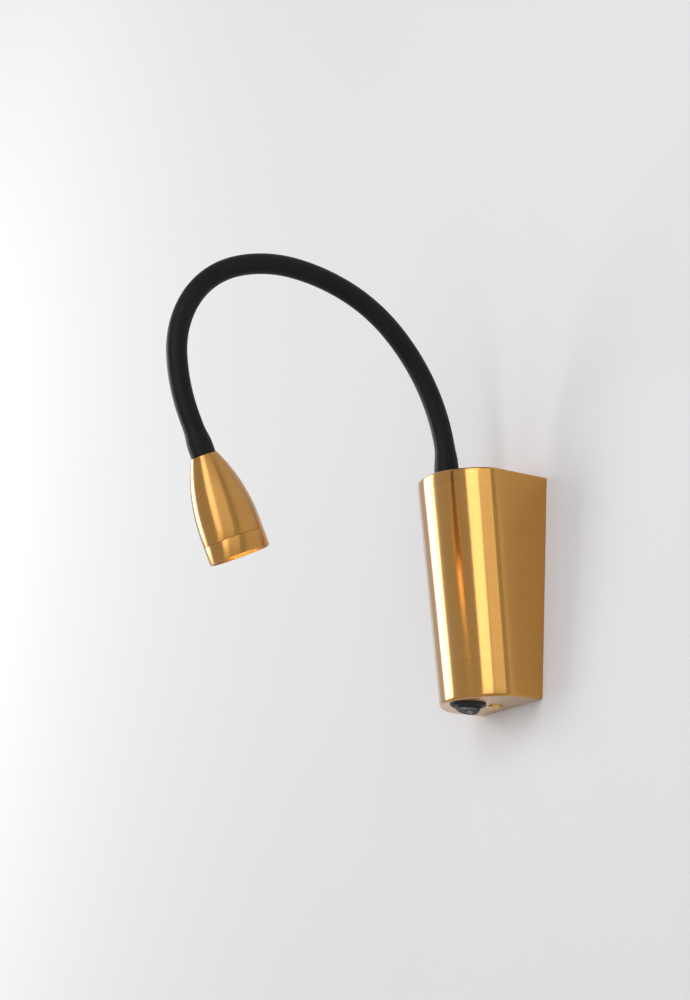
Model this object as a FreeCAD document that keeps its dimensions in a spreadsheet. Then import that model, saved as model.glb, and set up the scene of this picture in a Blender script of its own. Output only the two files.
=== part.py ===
import FreeCAD, Part

import math
import os

import Sketcher

# A bedside wall reading lamp: a brass base on a wall bracket, a flexible black neck and a
# small brass spot head.  Millimetres.  The wall is the plane y = 0, the lamp stands out of it
# towards -Y, +Z is up, and the origin is midway between the two wall screws.

DIMENSIONS = (
    # base cover
    ("cover_height", 110.0, "height of the cover at the wall"),
    ("low_half_width", 31.0, "half of the cover's width at its underside"),
    ("high_half_width", 34.5, "half of the cover's width at its top"),
    ("low_depth", 35.0, "how far the underside stands out of the wall"),
    ("high_depth", 49.0, "how far the top stands out of the wall"),
    ("cover_corner", 12.0, "radius where each side turns into the nose"),
    ("cover_nose", 1.305, "nose radius less corner radius, for each mm from corner centre to middle"),
    ("top_tilt", 2.7, "degrees that the top rises towards the nose"),
    ("cover_wall", 1.6, "thickness of the cover's sides and top"),
    ("cover_floor", 2.2, "thickness of the cover's underside"),
    ("cover_edge", 1.2, "rounding of the cover's top and bottom edges"),
    # wall bracket
    ("bracket_gauge", 1.5, "thickness of the bracket's steel"),
    ("bracket_side_gap", 1.9, "from the bracket's side to the cover's inside"),
    ("bracket_top_gap", 3.4, "from the bracket's top to the cover's inside"),
    ("bracket_corner", 4.0, "corner radius of the bracket"),
    ("wall_screw_inset", 13.0, "from a wall screw hole to the cover's top or underside"),
    ("wall_screw_hole", 2.25, "radius of a wall screw hole"),
    ("cable_hole", 7.0, "radius of the hole for the supply cable"),
    ("cable_hole_side", 14.0, "cable hole to the right of the middle"),
    ("cable_hole_drop", 9.0, "cable hole below the middle"),
    ("tab_half_width", 9.0, "half of the width of the bracket's lower tab"),
    ("tab_reach", 14.0, "how far the lower tab stands out of the wall"),
    ("tab_gauge", 3.0, "thickness of the lower tab, which is threaded"),
    ("hook_reach", 6.0, "how far the bracket's upper hook stands out of the wall"),
    ("hook_rise", 2.5, "height of the hook's lip"),
    ("hook_half_width", 10.0, "half of the hook's width"),
    ("hook_gap", 0.3, "gap between the hook and the cover's rib behind it"),
    # screws
    ("thread_fit", 0.05, "clearance of a thread or a push fit, on the radius"),
    ("screw_radius", 2.0, "radius of the M4 screws"),
    ("screw_head_radius", 4.0, "radius of a pan head"),
    ("screw_head_height", 2.2, "height of a pan head"),
    ("cross_width", 1.0, "width of the cross recess"),
    ("cross_length", 4.4, "length of the cross recess"),
    ("cross_depth", 1.2, "depth of the cross recess"),
    ("cover_screw_out", 9.0, "cover screw's distance from the wall"),
    ("cover_screw_length", 9.0, "length of the cover screw under its head"),
    ("head_recess", 1.0, "how deep the cover screw's head is let in"),
    # driver
    ("driver_width", 23.0, "width of the LED driver"),
    ("driver_end_gap", 32.0, "from the driver's case to the cover's top and underside"),
    ("driver_depth", 19.0, "depth of the LED driver"),
    ("driver_side", 14.5, "driver's middle to the left of the middle"),
    ("driver_edge", 1.5, "rounding of the driver's case"),
    ("driver_foot", 5.0, "how far each fixing ear stands out of the driver's case"),
    ("driver_foot_gauge", 2.0, "thickness of an ear"),
    ("small_screw_radius", 1.25, "radius of the M2.5 screws"),
    ("small_head_radius", 2.2, "radius of an M2.5 head"),
    ("small_head_height", 1.5, "height of an M2.5 head"),
    # terminal block
    ("block_width", 24.0, "width of the terminal block"),
    ("block_height", 14.0, "height of the terminal block"),
    ("block_depth", 13.0, "depth of the terminal block"),
    ("block_side", 14.0, "terminal block's middle to the right of the middle"),
    ("block_drop", 3.0, "terminal block's top below the driver's top"),
    ("pole_pitch", 7.0, "between the poles of the terminal block"),
    ("pole_radius", 2.1, "radius of a pole's screw well"),
    ("pole_depth", 5.0, "depth of a pole's screw well"),
    ("pole_screw_height", 3.0, "height of a terminal screw"),
    # earth
    ("earth_side", 14.0, "earth screw to the right of the middle"),
    ("earth_rise", 27.0, "earth screw above the cover's underside"),
    ("earth_length", 5.0, "length of the earth screw under its head"),
    ("lug_gauge", 0.8, "thickness of the ring lug"),
    ("lug_length", 10.0, "length of the ring lug's tail"),
    # wires
    ("wire_radius", 0.95, "radius of an insulated wire in the base"),
    ("wire_bend", 4.0, "bend radius of a wire in the base"),
    # switch
    ("switch_out", 24.0, "switch's distance from the wall"),
    ("switch_turn", 120.0, "degrees that the switch is turned in its round hole"),
    ("bezel_radius", 9.0, "radius of the switch's bezel"),
    ("bezel_gauge", 1.5, "thickness of the bezel"),
    ("barrel_radius", 7.5, "radius of the switch's barrel"),
    ("barrel_length", 14.0, "length of the barrel inside the cover"),
    ("barrel_bore", 7.0, "radius of the rocker's well"),
    ("well_depth", 3.0, "depth of the rocker's well inside the cover"),
    ("hinge_depth", 0.1, "rocker's hinge below the cover's underside"),
    ("rocker_radius", 6.6, "radius of the rocker's round ends"),
    ("rocker_valley", 3.0, "from the hinge to the rocker's middle"),
    ("rocker_back", 1.3, "from the hinge to the rocker's inner side"),
    ("rocker_facet", 7.0, "degrees of each of the rocker's two faces"),
    ("rocker_throw", 12.0, "degrees that the rocker tips to each side"),
    ("trunnion_radius", 1.0, "radius of the rocker's pins"),
    ("trunnion_reach", 7.3, "from the rocker's middle to the end of a pin"),
    ("blade_width", 4.8, "width of a switch terminal"),
    ("blade_gauge", 0.8, "thickness of a switch terminal"),
    ("blade_length", 8.0, "length of a switch terminal"),
    ("blade_pitch", 7.0, "between the switch terminals"),
    # neck
    ("neck_out", 37.6, "where the neck leaves the top, from the wall"),
    ("neck_lead", 18.0, "length of the neck's thick lower end"),
    ("neck_lead_turn", 14.5, "degrees that the lower end bends"),
    ("link_length", 31.0, "length of one link of the neck"),
    ("head_lead", 20.0, "length of the neck's thick upper end"),
    ("sleeve_radius", 5.1, "outer radius of the neck's rubber sleeve"),
    ("core_radius", 4.1, "outer radius of the neck's steel core"),
    ("core_bore", 2.0, "bore of the steel core"),
    ("ball_gap", 0.5, "gap between a link's round end and the next link"),
    ("boot_radius", 6.1, "outer radius of the sleeve's thick ends"),
    ("boot_straight", 5.0, "length of the thick part before it tapers"),
    ("neck_wire_radius", 0.75, "radius of a wire in the neck"),
    ("neck_wire_side", 1.2, "each neck wire's distance from the middle"),
    # neck fixings
    ("nipple_radius", 5.0, "radius of the M10 nipples"),
    ("nipple_bore", 3.0, "bore of the nipples"),
    ("nipple_length", 12.0, "length of a nipple's thread"),
    ("collar_radius", 5.5, "radius of a nipple's collar"),
    ("collar_height", 1.2, "height of a nipple's collar"),
    ("socket_depth", 6.0, "how deep the steel core sits in a nipple"),
    ("nut_half_flats", 7.0, "half of the neck nut's width across flats"),
    ("nut_height", 3.5, "height of the neck nut"),
    ("washer_radius", 8.0, "radius of the neck's lock washer"),
    ("washer_gauge", 1.0, "thickness of the lock washer"),
    # head
    ("shade_radius", 15.0, "outer radius of the head"),
    ("shade_top", 6.8, "radius of the head where the neck enters"),
    ("shade_length", 50.5, "length of the head"),
    ("shade_straight", 13.5, "length of the head's straight part, with the front ring"),
    ("shade_chamfer", 0.4, "chamfer of the head's edges"),
    ("ring_length", 8.7, "length of the front ring"),
    ("shade_neck", 10.0, "length of the threaded hole in the head's top"),
    ("shade_bore", 11.8, "radius of the head's bore"),
    ("slug_recess", 25.5, "from the head's front edge to the heat sink's seat"),
    ("seat_ledge", 1.0, "width of the heat sink's seat"),
    ("spigot_radius", 13.2, "radius of the thread that the front ring screws on"),
    ("spigot_length", 2.6, "length of that thread"),
    ("slug_height", 6.0, "height of the heat sink"),
    ("slug_wire_side", 5.0, "each wire hole's distance from the heat sink's middle"),
    ("slug_wire_hole", 1.3, "radius of a wire hole in the heat sink"),
    ("board_radius", 10.0, "radius of the LED board"),
    ("board_gauge", 1.6, "thickness of the LED board"),
    ("board_screw_side", 7.2, "each board screw's distance from the middle"),
    ("led_radius", 3.2, "radius of the light-emitting spot"),
    ("led_height", 1.0, "height of the light-emitting spot"),
    ("lens_recess", 7.9, "from the head's front edge to the lens's front"),
    ("lens_flange", 1.0, "thickness of the lens's flange"),
    ("lens_radius", 11.4, "radius of the lens's flange"),
    ("lens_body", 10.3, "radius of the lens under its flange"),
    ("lens_foot", 4.4, "radius of the lens at the LED"),
    ("lens_cup", 3.7, "radius of the hollow in the lens's foot"),
    ("lens_cup_depth", 3.0, "depth of that hollow"),
    ("lens_gap", 0.4, "gap between the lens and the LED"),
    ("gasket_gauge", 0.6, "thickness of the lens's gasket"),
    ("mouth_radius", 14.2, "radius of the front ring's mouth"),
    ("throat_radius", 10.8, "radius of the front ring's throat"),
    ("throat_lip", 0.8, "thickness of the lip in front of the lens"),
    ("groove_count", 6, "steps of the anti-glare grooves in the mouth"),
)

# Degrees that each link of the neck turns, from the base to the head.
LINK_TURNS = (17.0, 16.4, 21.4, 18.2, 26.8, 39.6, 34.3, 18.4)


class Size:
    """A size: its value now, and the expression on the sheet that keeps it."""

    def __init__(self, value, text):
        self.value = value
        self.text = text

    def __float__(self):
        return float(self.value)

    def _joined(self, sign, left, right):
        values = {"+": float(left) + float(right),
                  "-": float(left) - float(right),
                  "*": float(left) * float(right)}
        return Size(values[sign], "(%s %s %s)" % (written(left), sign, written(right)))

    def __add__(self, other):
        return self._joined("+", self, other)

    def __radd__(self, other):
        return self._joined("+", other, self)

    def __sub__(self, other):
        return self._joined("-", self, other)

    def __rsub__(self, other):
        return self._joined("-", other, self)

    def __mul__(self, other):
        return self._joined("*", self, other)

    def __rmul__(self, other):
        return self._joined("*", other, self)

    def __neg__(self):
        return self._joined("*", -1, self)


def written(number):
    """The text of a size, or of a plain number, in an expression."""
    return number.text if isinstance(number, Size) else repr(float(number))


def make_sheet(doc):
    """The spreadsheet of driving dimensions, and the sizes read back from it."""
    sheet = doc.addObject("Spreadsheet::Sheet", "Sizes")
    for row, (alias, value, note) in enumerate(DIMENSIONS, start=1):
        sheet.set("A%d" % row, note)
        sheet.set("B%d" % row, str(value))
        sheet.setAlias("B%d" % row, alias)
    doc.recompute()
    return {alias: Size(float(sheet.get(alias)), "Sizes." + alias)
            for alias, value, note in DIMENSIONS}


DOC = FreeCAD.newDocument("ReadingLamp")
SIZES = make_sheet(DOC)
PIECES = []


def size(alias):
    return SIZES[alias]


def length(alias):
    """The plain value of a size, for geometry that no sketch makes."""
    return float(SIZES[alias])


def vector(x, y, z):
    return FreeCAD.Vector(float(x), float(y), float(z))


def drive(feature, name, value):
    """Sets a property, and ties it to the sheet where its value comes from there."""
    if isinstance(value, Size):
        feature.setExpression(name, value.text)
    else:
        setattr(feature, name, value)


# Bodies, sketches and features


def new_body(label):
    body = DOC.addObject("PartDesign::Body", label)
    body.Label = label
    PIECES.append(body)
    return body


def new_solid(label, shape, placement=None):
    """A piece whose bent or rounded shape no sketch feature gives."""
    piece = DOC.addObject("Part::Feature", label)
    piece.Label = label
    piece.Shape = shape
    if placement is not None:
        piece.Placement = placement
    PIECES.append(piece)
    return piece


def origin_plane(body, role):
    return [plane for plane in body.Origin.OriginFeatures if plane.Role == role][0]


def new_sketch(body, role, lift=0.0):
    """A sketch on one of the body's own planes, lifted along the plane's normal."""
    sketch = body.newObject("Sketcher::SketchObject", body.Label + "_drawing")
    sketch.AttachmentSupport = [(origin_plane(body, role), "")]
    sketch.MapMode = "FlatFace"
    sketch.AttachmentOffset = FreeCAD.Placement(vector(0, 0, lift), FreeCAD.Rotation())
    if isinstance(lift, Size):
        sketch.setExpression("AttachmentOffset.Base.z", lift.text)
    return sketch


def set_constraint(sketch, kind, places, value):
    """A dimension in a sketch, tied to the sheet where its value comes from there."""
    index = sketch.addConstraint(Sketcher.Constraint(kind, *places, float(value)))
    if isinstance(value, Size):
        sketch.setExpression("Constraints[%d]" % index, value.text)


def from_origin(element, end):
    """A sketch's origin, which is the start of its line -1, and a point of an element."""
    return -1, 1, element, end


def pin_point(sketch, element, end, x, y):
    """Fixes a point of a sketch at x, y from the drawing's origin."""
    for kind, axis, value in (("DistanceX", -2, x), ("DistanceY", -1, y)):
        if isinstance(value, Size) or value:
            set_constraint(sketch, kind, from_origin(element, end), value)
        else:
            sketch.addConstraint(Sketcher.Constraint("PointOnObject", element, end, axis))


def arc_through(start, end, radius):
    """An arc from start to end, turning left if the radius is positive."""
    chord = end - start
    half = chord.Length / 2
    rise = math.sqrt(max(radius * radius - half * half, 0.0))
    across = FreeCAD.Vector(-chord.y, chord.x, 0).normalize()
    side = 1 if radius > 0 else -1
    centre = start + chord / 2 + across * rise * side
    angles = [math.atan2(point.y - centre.y, point.x - centre.x) for point in (start, end)]
    if radius < 0:
        angles.reverse()
    if angles[1] < angles[0]:
        angles[1] += 2 * math.pi
    return Part.ArcOfCircle(Part.Circle(centre, vector(0, 0, 1), abs(radius)), *angles)


def draw_outline(sketch, corners):
    """A closed outline: each corner is (x, y), or (x, y, radius) where an arc leaves it."""
    points = [vector(corner[0], corner[1], 0) for corner in corners]
    first = sketch.GeometryCount
    ends = []
    for index, corner in enumerate(corners):
        start = points[index]
        end = points[(index + 1) % len(points)]
        curved = len(corner) == 3
        piece = arc_through(start, end, float(corner[2])) if curved else Part.LineSegment(start, end)
        sketch.addGeometry(piece, False)
        ends.append((2, 1) if curved and float(corner[2]) < 0 else (1, 2))
    for index, corner in enumerate(corners):
        following = (index + 1) % len(corners)
        sketch.addConstraint(Sketcher.Constraint(
            "Coincident", first + index, ends[index][1], first + following, ends[following][0]))
        pin_point(sketch, first + index, ends[index][0], corner[0], corner[1])
        if len(corner) == 3:
            turned = corner[2] if float(corner[2]) > 0 else -1 * corner[2]
            set_constraint(sketch, "Radius", (first + index,), turned)


def draw_circle(sketch, x, y, radius):
    element = sketch.addGeometry(
        Part.Circle(vector(x, y, 0), vector(0, 0, 1), float(radius)), False)
    pin_point(sketch, element, 3, x, y)
    set_constraint(sketch, "Radius", (element,), radius)


def draw_box(sketch, x, y, half_width, half_height):
    """A rectangle about the point x, y."""
    draw_outline(sketch, (
        (x - half_width, y - half_height), (x + half_width, y - half_height),
        (x + half_width, y + half_height), (x - half_width, y + half_height)))


def pad(body, sketch, height, reverse=False):
    feature = body.newObject("PartDesign::Pad", "Pad")
    feature.Profile = sketch
    feature.Reversed = reverse
    drive(feature, "Length", height)
    DOC.recompute()
    return feature


def cut(body, kind, sketch, settings):
    """A pocket or groove, which has to take something away."""
    before = body.Shape.Volume
    feature = body.newObject("PartDesign::" + kind, kind)
    feature.Profile = sketch
    for name, value in settings.items():
        drive(feature, name, value)
    DOC.recompute()
    if body.Shape.Volume >= before - 1e-6:
        raise RuntimeError("the %s of %s cuts nothing" % (kind, body.Label))
    return feature


def pocket(body, sketch, depth, reverse=False):
    return cut(body, "Pocket", sketch, {"Reversed": reverse, "Length": depth})


def pierce(body, sketch, both_ways=True):
    return cut(body, "Pocket", sketch, {"Type": 1, "Midplane": both_ways})


def revolve(body, corners):
    """A round body: the outline holds radii and heights, about the body's own Z axis."""
    sketch = new_sketch(body, "XZ_Plane")
    draw_outline(sketch, corners)
    feature = body.newObject("PartDesign::Revolution", "Revolution")
    feature.Profile = sketch
    feature.ReferenceAxis = (sketch, ["V_Axis"])
    feature.Angle = 360
    DOC.recompute()
    return feature


def fillet(body, base, edges, radius):
    feature = body.newObject("PartDesign::Fillet", "Fillet")
    feature.Base = (base, edges)
    drive(feature, "Radius", radius)
    DOC.recompute()
    return feature


def edges_where(shape, wanted):
    return ["Edge%d" % (index + 1) for index, edge in enumerate(shape.Edges) if wanted(edge)]


# Places


def tilted(y, z, heading):
    """A place in the lamp's middle plane whose Z axis leans out of the wall by heading."""
    return FreeCAD.Placement(vector(0, y, z), FreeCAD.Rotation(vector(1, 0, 0), heading))


def facing_out(x, z, y=0.0):
    """A place whose Z axis points straight out of the wall and whose Y axis points up."""
    return FreeCAD.Placement(vector(x, y, z), FreeCAD.Rotation(vector(1, 0, 0), 90))


def stepped(place, distance, turn):
    """The place a given distance further along the neck, which turns by turn degrees."""
    angle = math.radians(turn)
    radius = distance / angle
    across = radius * (1 - math.cos(angle))
    step = FreeCAD.Placement(vector(0, -across, radius * math.sin(angle)),
                             FreeCAD.Rotation(vector(1, 0, 0), turn))
    return place.multiply(step)


def neck_places():
    """The neck's exit, its pivots in order, and the head's top."""
    out = length("neck_out")
    rise = length("cover_height") / 2 + out * math.tan(math.radians(length("top_tilt")))
    exit_place = tilted(-out, rise, -length("top_tilt"))
    pivots = [stepped(exit_place, length("neck_lead"), length("neck_lead_turn"))]
    for turn in LINK_TURNS:
        pivots.append(stepped(pivots[-1], length("link_length"), turn))
    straight = FreeCAD.Placement(vector(0, 0, length("head_lead")), FreeCAD.Rotation())
    return exit_place, pivots, pivots[-1].multiply(straight)


EXIT, PIVOTS, HEAD = neck_places()
HALF_HEIGHT = 0.5 * size("cover_height")
UNDERSIDE = FreeCAD.Placement(vector(0, -length("switch_out"), -float(HALF_HEIGHT)),
                              FreeCAD.Rotation(vector(0, 0, 1), length("switch_turn")))


# Base cover


def cover_section(sketch, half_width, depth, inset, back):
    """A cross-section of the cover: straight sides, two corner arcs and the nose arc."""
    centre_x = half_width - size("cover_corner")
    corner = size("cover_corner") - inset
    nose = corner + size("cover_nose") * centre_x
    half_width = half_width - inset
    depth = depth - inset
    corner_x = float(centre_x)
    nose_y = float(nose) - float(depth)
    reach = float(nose) - float(corner)
    corner_y = nose_y - math.sqrt(reach * reach - corner_x * corner_x)
    turn = math.atan2(nose_y - corner_y, corner_x)
    wide = float(half_width)
    up = vector(0, 0, 1)
    right = Part.Circle(vector(corner_x, corner_y, 0), up, float(corner))
    left = Part.Circle(vector(-corner_x, corner_y, 0), up, float(corner))
    front = Part.Circle(vector(0, nose_y, 0), up, float(nose))
    sketch.addGeometry([
        Part.LineSegment(vector(wide, back, 0), vector(-wide, back, 0)),
        Part.LineSegment(vector(-wide, back, 0), vector(-wide, corner_y, 0)),
        Part.ArcOfCircle(left, math.pi, math.pi + turn),
        Part.ArcOfCircle(front, math.pi + turn, 2 * math.pi - turn),
        Part.ArcOfCircle(right, -turn, 0),
        Part.LineSegment(vector(wide, corner_y, 0), vector(wide, back, 0)),
    ], False)
    back_line, left_side, left_arc, front_arc, right_arc, right_side = range(6)
    sketch.addConstraint([
        Sketcher.Constraint("Coincident", back_line, 2, left_side, 1),
        Sketcher.Constraint("Tangent", left_side, 2, left_arc, 1),
        Sketcher.Constraint("Tangent", left_arc, 2, front_arc, 1),
        Sketcher.Constraint("Tangent", front_arc, 2, right_arc, 1),
        Sketcher.Constraint("Tangent", right_arc, 2, right_side, 1),
        Sketcher.Constraint("Coincident", right_side, 2, back_line, 1),
        Sketcher.Constraint("Vertical", left_side),
        Sketcher.Constraint("Vertical", right_side),
        Sketcher.Constraint("PointOnObject", front_arc, 3, -2),
    ])
    pin_point(sketch, back_line, 1, half_width, back)
    pin_point(sketch, back_line, 2, -half_width, back)
    set_constraint(sketch, "Radius", (left_arc,), corner)
    set_constraint(sketch, "Radius", (right_arc,), corner)
    set_constraint(sketch, "Radius", (front_arc,), nose)
    set_constraint(sketch, "DistanceY", from_origin(front_arc, 3), nose - depth)


def tilt_sketch(sketch):
    """Tilts a section as the cover's top is tilted."""
    sketch.setExpression("AttachmentOffset.Rotation",
                         "rotation(vector(1; 0; 0); -1 * Sizes.top_tilt)")


def cover_loft(body, kind, inset, low_lift, high_lift, back):
    """A loft between an upright lower section and the tilted upper one."""
    share = (float(low_lift) + float(HALF_HEIGHT)) / length("cover_height")
    low_width = size("low_half_width") + share * (size("high_half_width") - size("low_half_width"))
    low_depth = size("low_depth") + share * (size("high_depth") - size("low_depth"))
    low = new_sketch(body, "XY_Plane", low_lift)
    cover_section(low, low_width, low_depth, inset, back)
    high = new_sketch(body, "XY_Plane", high_lift)
    tilt_sketch(high)
    cover_section(high, size("high_half_width"), size("high_depth"), inset, back)
    feature = body.newObject("PartDesign::" + kind, kind)
    feature.Profile = low
    feature.Sections = [high]
    DOC.recompute()
    return feature


def is_outer_rim(edge):
    """True for the edges of the cover's top and underside, without those at the wall."""
    middle = edge.valueAt((edge.FirstParameter + edge.LastParameter) / 2)
    ends = [vertex.Point for vertex in edge.Vertexes]
    at_wall = all(abs(point.y) < 1e-4 for point in ends)
    low = all(abs(point.z + float(HALF_HEIGHT)) < 1e-4 for point in ends + [middle])
    slope = math.tan(math.radians(length("top_tilt")))
    high = all(abs(point.z - float(HALF_HEIGHT) + point.y * slope) < 1e-3 for point in ends + [middle])
    return (low or high) and not at_wall


def make_cover():
    """The brass cover: a shell open at the wall, with holes for neck, switch and screw."""
    body = new_body("base_cover")
    cover_loft(body, "AdditiveLoft", 0.0, -HALF_HEIGHT, HALF_HEIGHT, 0.0)
    shell = cover_loft(body, "SubtractiveLoft", size("cover_wall"),
                       size("cover_floor") - HALF_HEIGHT, HALF_HEIGHT - size("cover_wall"), 1.0)
    fillet(body, shell, edges_where(shell.Shape, is_outer_rim), size("cover_edge"))
    rib = new_sketch(body, "YZ_Plane", -size("hook_half_width"))
    rib_front = size("bracket_gauge") + size("hook_gap") - size("hook_reach")
    rib_low = bracket_top() + 2 * size("hook_gap")
    rib_top = HALF_HEIGHT - 0.5 * size("cover_wall")
    draw_outline(rib, (
        (rib_front, rib_low), (rib_front + size("cover_wall"), rib_low),
        (rib_front + size("cover_wall"), rib_top), (rib_front, rib_top)))
    pad(body, rib, 2 * size("hook_half_width"))
    floor_holes = new_sketch(body, "XY_Plane", -HALF_HEIGHT)
    draw_circle(floor_holes, 0, -size("switch_out"), size("barrel_radius") + size("thread_fit"))
    draw_circle(floor_holes, 0, -size("cover_screw_out"), size("screw_radius") + 3 * size("thread_fit"))
    pocket(body, floor_holes, size("cover_floor"), reverse=True)
    recess = new_sketch(body, "XY_Plane", -HALF_HEIGHT)
    draw_circle(recess, 0, -size("cover_screw_out"), size("screw_head_radius") + 6 * size("thread_fit"))
    pocket(body, recess, size("head_recess"), reverse=True)
    exit_hole = new_sketch(body, "XY_Plane", HALF_HEIGHT)
    tilt_sketch(exit_hole)
    along = 1 / math.cos(math.radians(length("top_tilt")))
    draw_circle(exit_hole, 0, -along * size("neck_out"), size("nipple_radius") + 2 * size("thread_fit"))
    pocket(body, exit_hole, 2 * size("cover_wall"))


# Wall bracket and what it carries


def bracket_top():
    return HALF_HEIGHT - size("cover_wall") - size("bracket_top_gap")


def make_bracket():
    """The steel bracket: a plate with a hook for the cover's rib and a tab for its screw."""
    body = new_body("wall_bracket")
    body.Placement = facing_out(0, 0)
    floor = HALF_HEIGHT - size("cover_floor")
    wide = size("low_half_width") - size("cover_wall") - size("bracket_side_gap")
    top = bracket_top()
    plate = new_sketch(body, "XY_Plane")
    draw_outline(plate, ((-wide, -floor), (wide, -floor), (wide, top), (-wide, top)))
    base = pad(body, plate, size("bracket_gauge"))
    upright = edges_where(base.Shape, lambda edge: abs(edge.tangentAt(edge.FirstParameter).z) > 0.9)
    fillet(body, base, upright, size("bracket_corner"))
    gauge = size("bracket_gauge")
    reach = size("hook_reach")
    hook = new_sketch(body, "YZ_Plane", -size("hook_half_width"))
    draw_outline(hook, (
        (top - gauge, 0), (top, 0), (top, reach - gauge), (top + size("hook_rise"), reach - gauge),
        (top + size("hook_rise"), reach), (top - gauge, reach)))
    pad(body, hook, 2 * size("hook_half_width"))
    tab = new_sketch(body, "YZ_Plane", -size("tab_half_width"))
    draw_outline(tab, (
        (-floor, 0), (size("tab_gauge") - floor, 0),
        (size("tab_gauge") - floor, size("tab_reach")), (-floor, size("tab_reach"))))
    pad(body, tab, 2 * size("tab_half_width"))
    holes = new_sketch(body, "XY_Plane", size("bracket_gauge"))
    for side in (-1, 1):
        draw_circle(holes, 0, side * (HALF_HEIGHT - size("wall_screw_inset")), size("wall_screw_hole"))
    draw_circle(holes, size("cable_hole_side"), -size("cable_hole_drop"), size("cable_hole"))
    draw_circle(holes, size("earth_side"), size("earth_rise") - HALF_HEIGHT,
                size("screw_radius") + size("thread_fit"))
    for side in (-1, 1):
        draw_circle(holes, -size("driver_side"), side * driver_screw_rise(),
                    size("small_screw_radius") + size("thread_fit"))
    pocket(body, holes, size("bracket_gauge"))
    thread = new_sketch(body, "XZ_Plane", floor)
    draw_circle(thread, 0, size("cover_screw_out"), size("screw_radius") + size("thread_fit"))
    pocket(body, thread, size("tab_gauge"))


def driver_top():
    """From the middle of the base to either end of the driver's case."""
    return HALF_HEIGHT - size("driver_end_gap")


def driver_screw_rise():
    """From the driver's middle to each of its screws."""
    return driver_top() + 0.5 * size("driver_foot")


def block_rise():
    """From the middle of the base to the middle of the terminal block."""
    return driver_top() - size("block_drop") - 0.5 * size("block_height")


def pan_screw(label, place, radius, head_radius, head_height, shank, crossed=True):
    """A screw: its head stands along +Z from the place, its shank along -Z."""
    body = new_body(label)
    body.Placement = place
    crown = 0.35 * head_height
    revolve(body, (
        (0, -shank), (radius - 0.3, -shank), (radius, 0.3 - shank), (radius, 0), (head_radius, 0),
        (head_radius, head_height - crown), (head_radius - crown, head_height), (0, head_height)))
    if crossed:
        cross = new_sketch(body, "XY_Plane", head_height)
        arm = 0.5 * size("cross_length")
        half = 0.5 * size("cross_width")
        draw_outline(cross, (
            (half, -arm), (half, -half), (arm, -half), (arm, half), (half, half), (half, arm),
            (-half, arm), (-half, half), (-arm, half), (-arm, -half), (-half, -half), (-half, -arm)))
        pocket(body, cross, size("cross_depth"))


def make_cover_screw():
    out = length("cover_screw_out")
    seat = length("head_recess") - float(HALF_HEIGHT)
    place = FreeCAD.Placement(vector(0, -out, seat), FreeCAD.Rotation(vector(1, 0, 0), 180))
    pan_screw("cover_screw", place, size("screw_radius"), size("screw_head_radius"),
              size("screw_head_height"), size("cover_screw_length"))


def make_earth():
    """The earth screw and the ring lug that it holds on the bracket."""
    side = length("earth_side")
    drop = float(HALF_HEIGHT) - length("earth_rise")
    gauge = length("bracket_gauge")
    body = new_body("earth_lug")
    body.Placement = facing_out(side, -drop, -gauge)
    drawing = new_sketch(body, "XY_Plane")
    draw_circle(drawing, 0, 0, size("screw_head_radius"))
    draw_circle(drawing, 0, 0, size("screw_radius") + 3 * size("thread_fit"))
    pad(body, drawing, size("lug_gauge"))
    tail = new_sketch(body, "XY_Plane")
    start = 0.85 * size("screw_head_radius")
    draw_outline(tail, (
        (-size("wire_radius"), start), (size("wire_radius"), start),
        (size("wire_radius"), start + 0.5 * size("lug_length")),
        (-size("wire_radius"), start + 0.5 * size("lug_length"))))
    pad(body, tail, size("lug_gauge"))
    pan_screw("earth_screw", facing_out(side, -drop, -gauge - length("lug_gauge")),
              size("screw_radius"), size("screw_head_radius"), size("screw_head_height"),
              size("bracket_gauge") + size("lug_gauge"))


def make_driver():
    """The LED driver: a plastic case with two ears, screwed to the bracket."""
    body = new_body("driver_case")
    body.Placement = facing_out(-length("driver_side"), 0, -length("bracket_gauge"))
    case = new_sketch(body, "XY_Plane")
    draw_box(case, 0.0, 0.0, 0.5 * size("driver_width"), driver_top())
    block = pad(body, case, size("driver_depth"))
    front = edges_where(block.Shape, lambda edge: edge.BoundBox.ZMax > length("driver_depth") - 1e-4)
    fillet(body, block, front, size("driver_edge"))
    ears = new_sketch(body, "XY_Plane")
    draw_box(ears, 0.0, 0.0, 0.3 * size("driver_width"), driver_top() + size("driver_foot"))
    pad(body, ears, size("driver_foot_gauge"))
    holes = new_sketch(body, "XY_Plane", size("driver_foot_gauge"))
    for side in (-1, 1):
        draw_circle(holes, 0, side * driver_screw_rise(),
                    size("small_screw_radius") + 2 * size("thread_fit"))
    pocket(body, holes, size("driver_foot_gauge"))


def make_driver_screws():
    """Both driver screws, as separate solids of one piece."""
    rise = float(driver_screw_rise())
    out = length("bracket_gauge") + length("driver_foot_gauge")
    shank = out
    screws = []
    for side in (-1, 1):
        at = vector(-length("driver_side"), -out, side * rise)
        away = vector(0, -1, 0)
        screw = Part.makeCylinder(length("small_screw_radius"), shank, at, -away)
        head = Part.makeCylinder(length("small_head_radius"), length("small_head_height"), at, away)
        screws.append(screw.fuse(head))
    new_solid("driver_screws", Part.makeCompound(screws))


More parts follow.
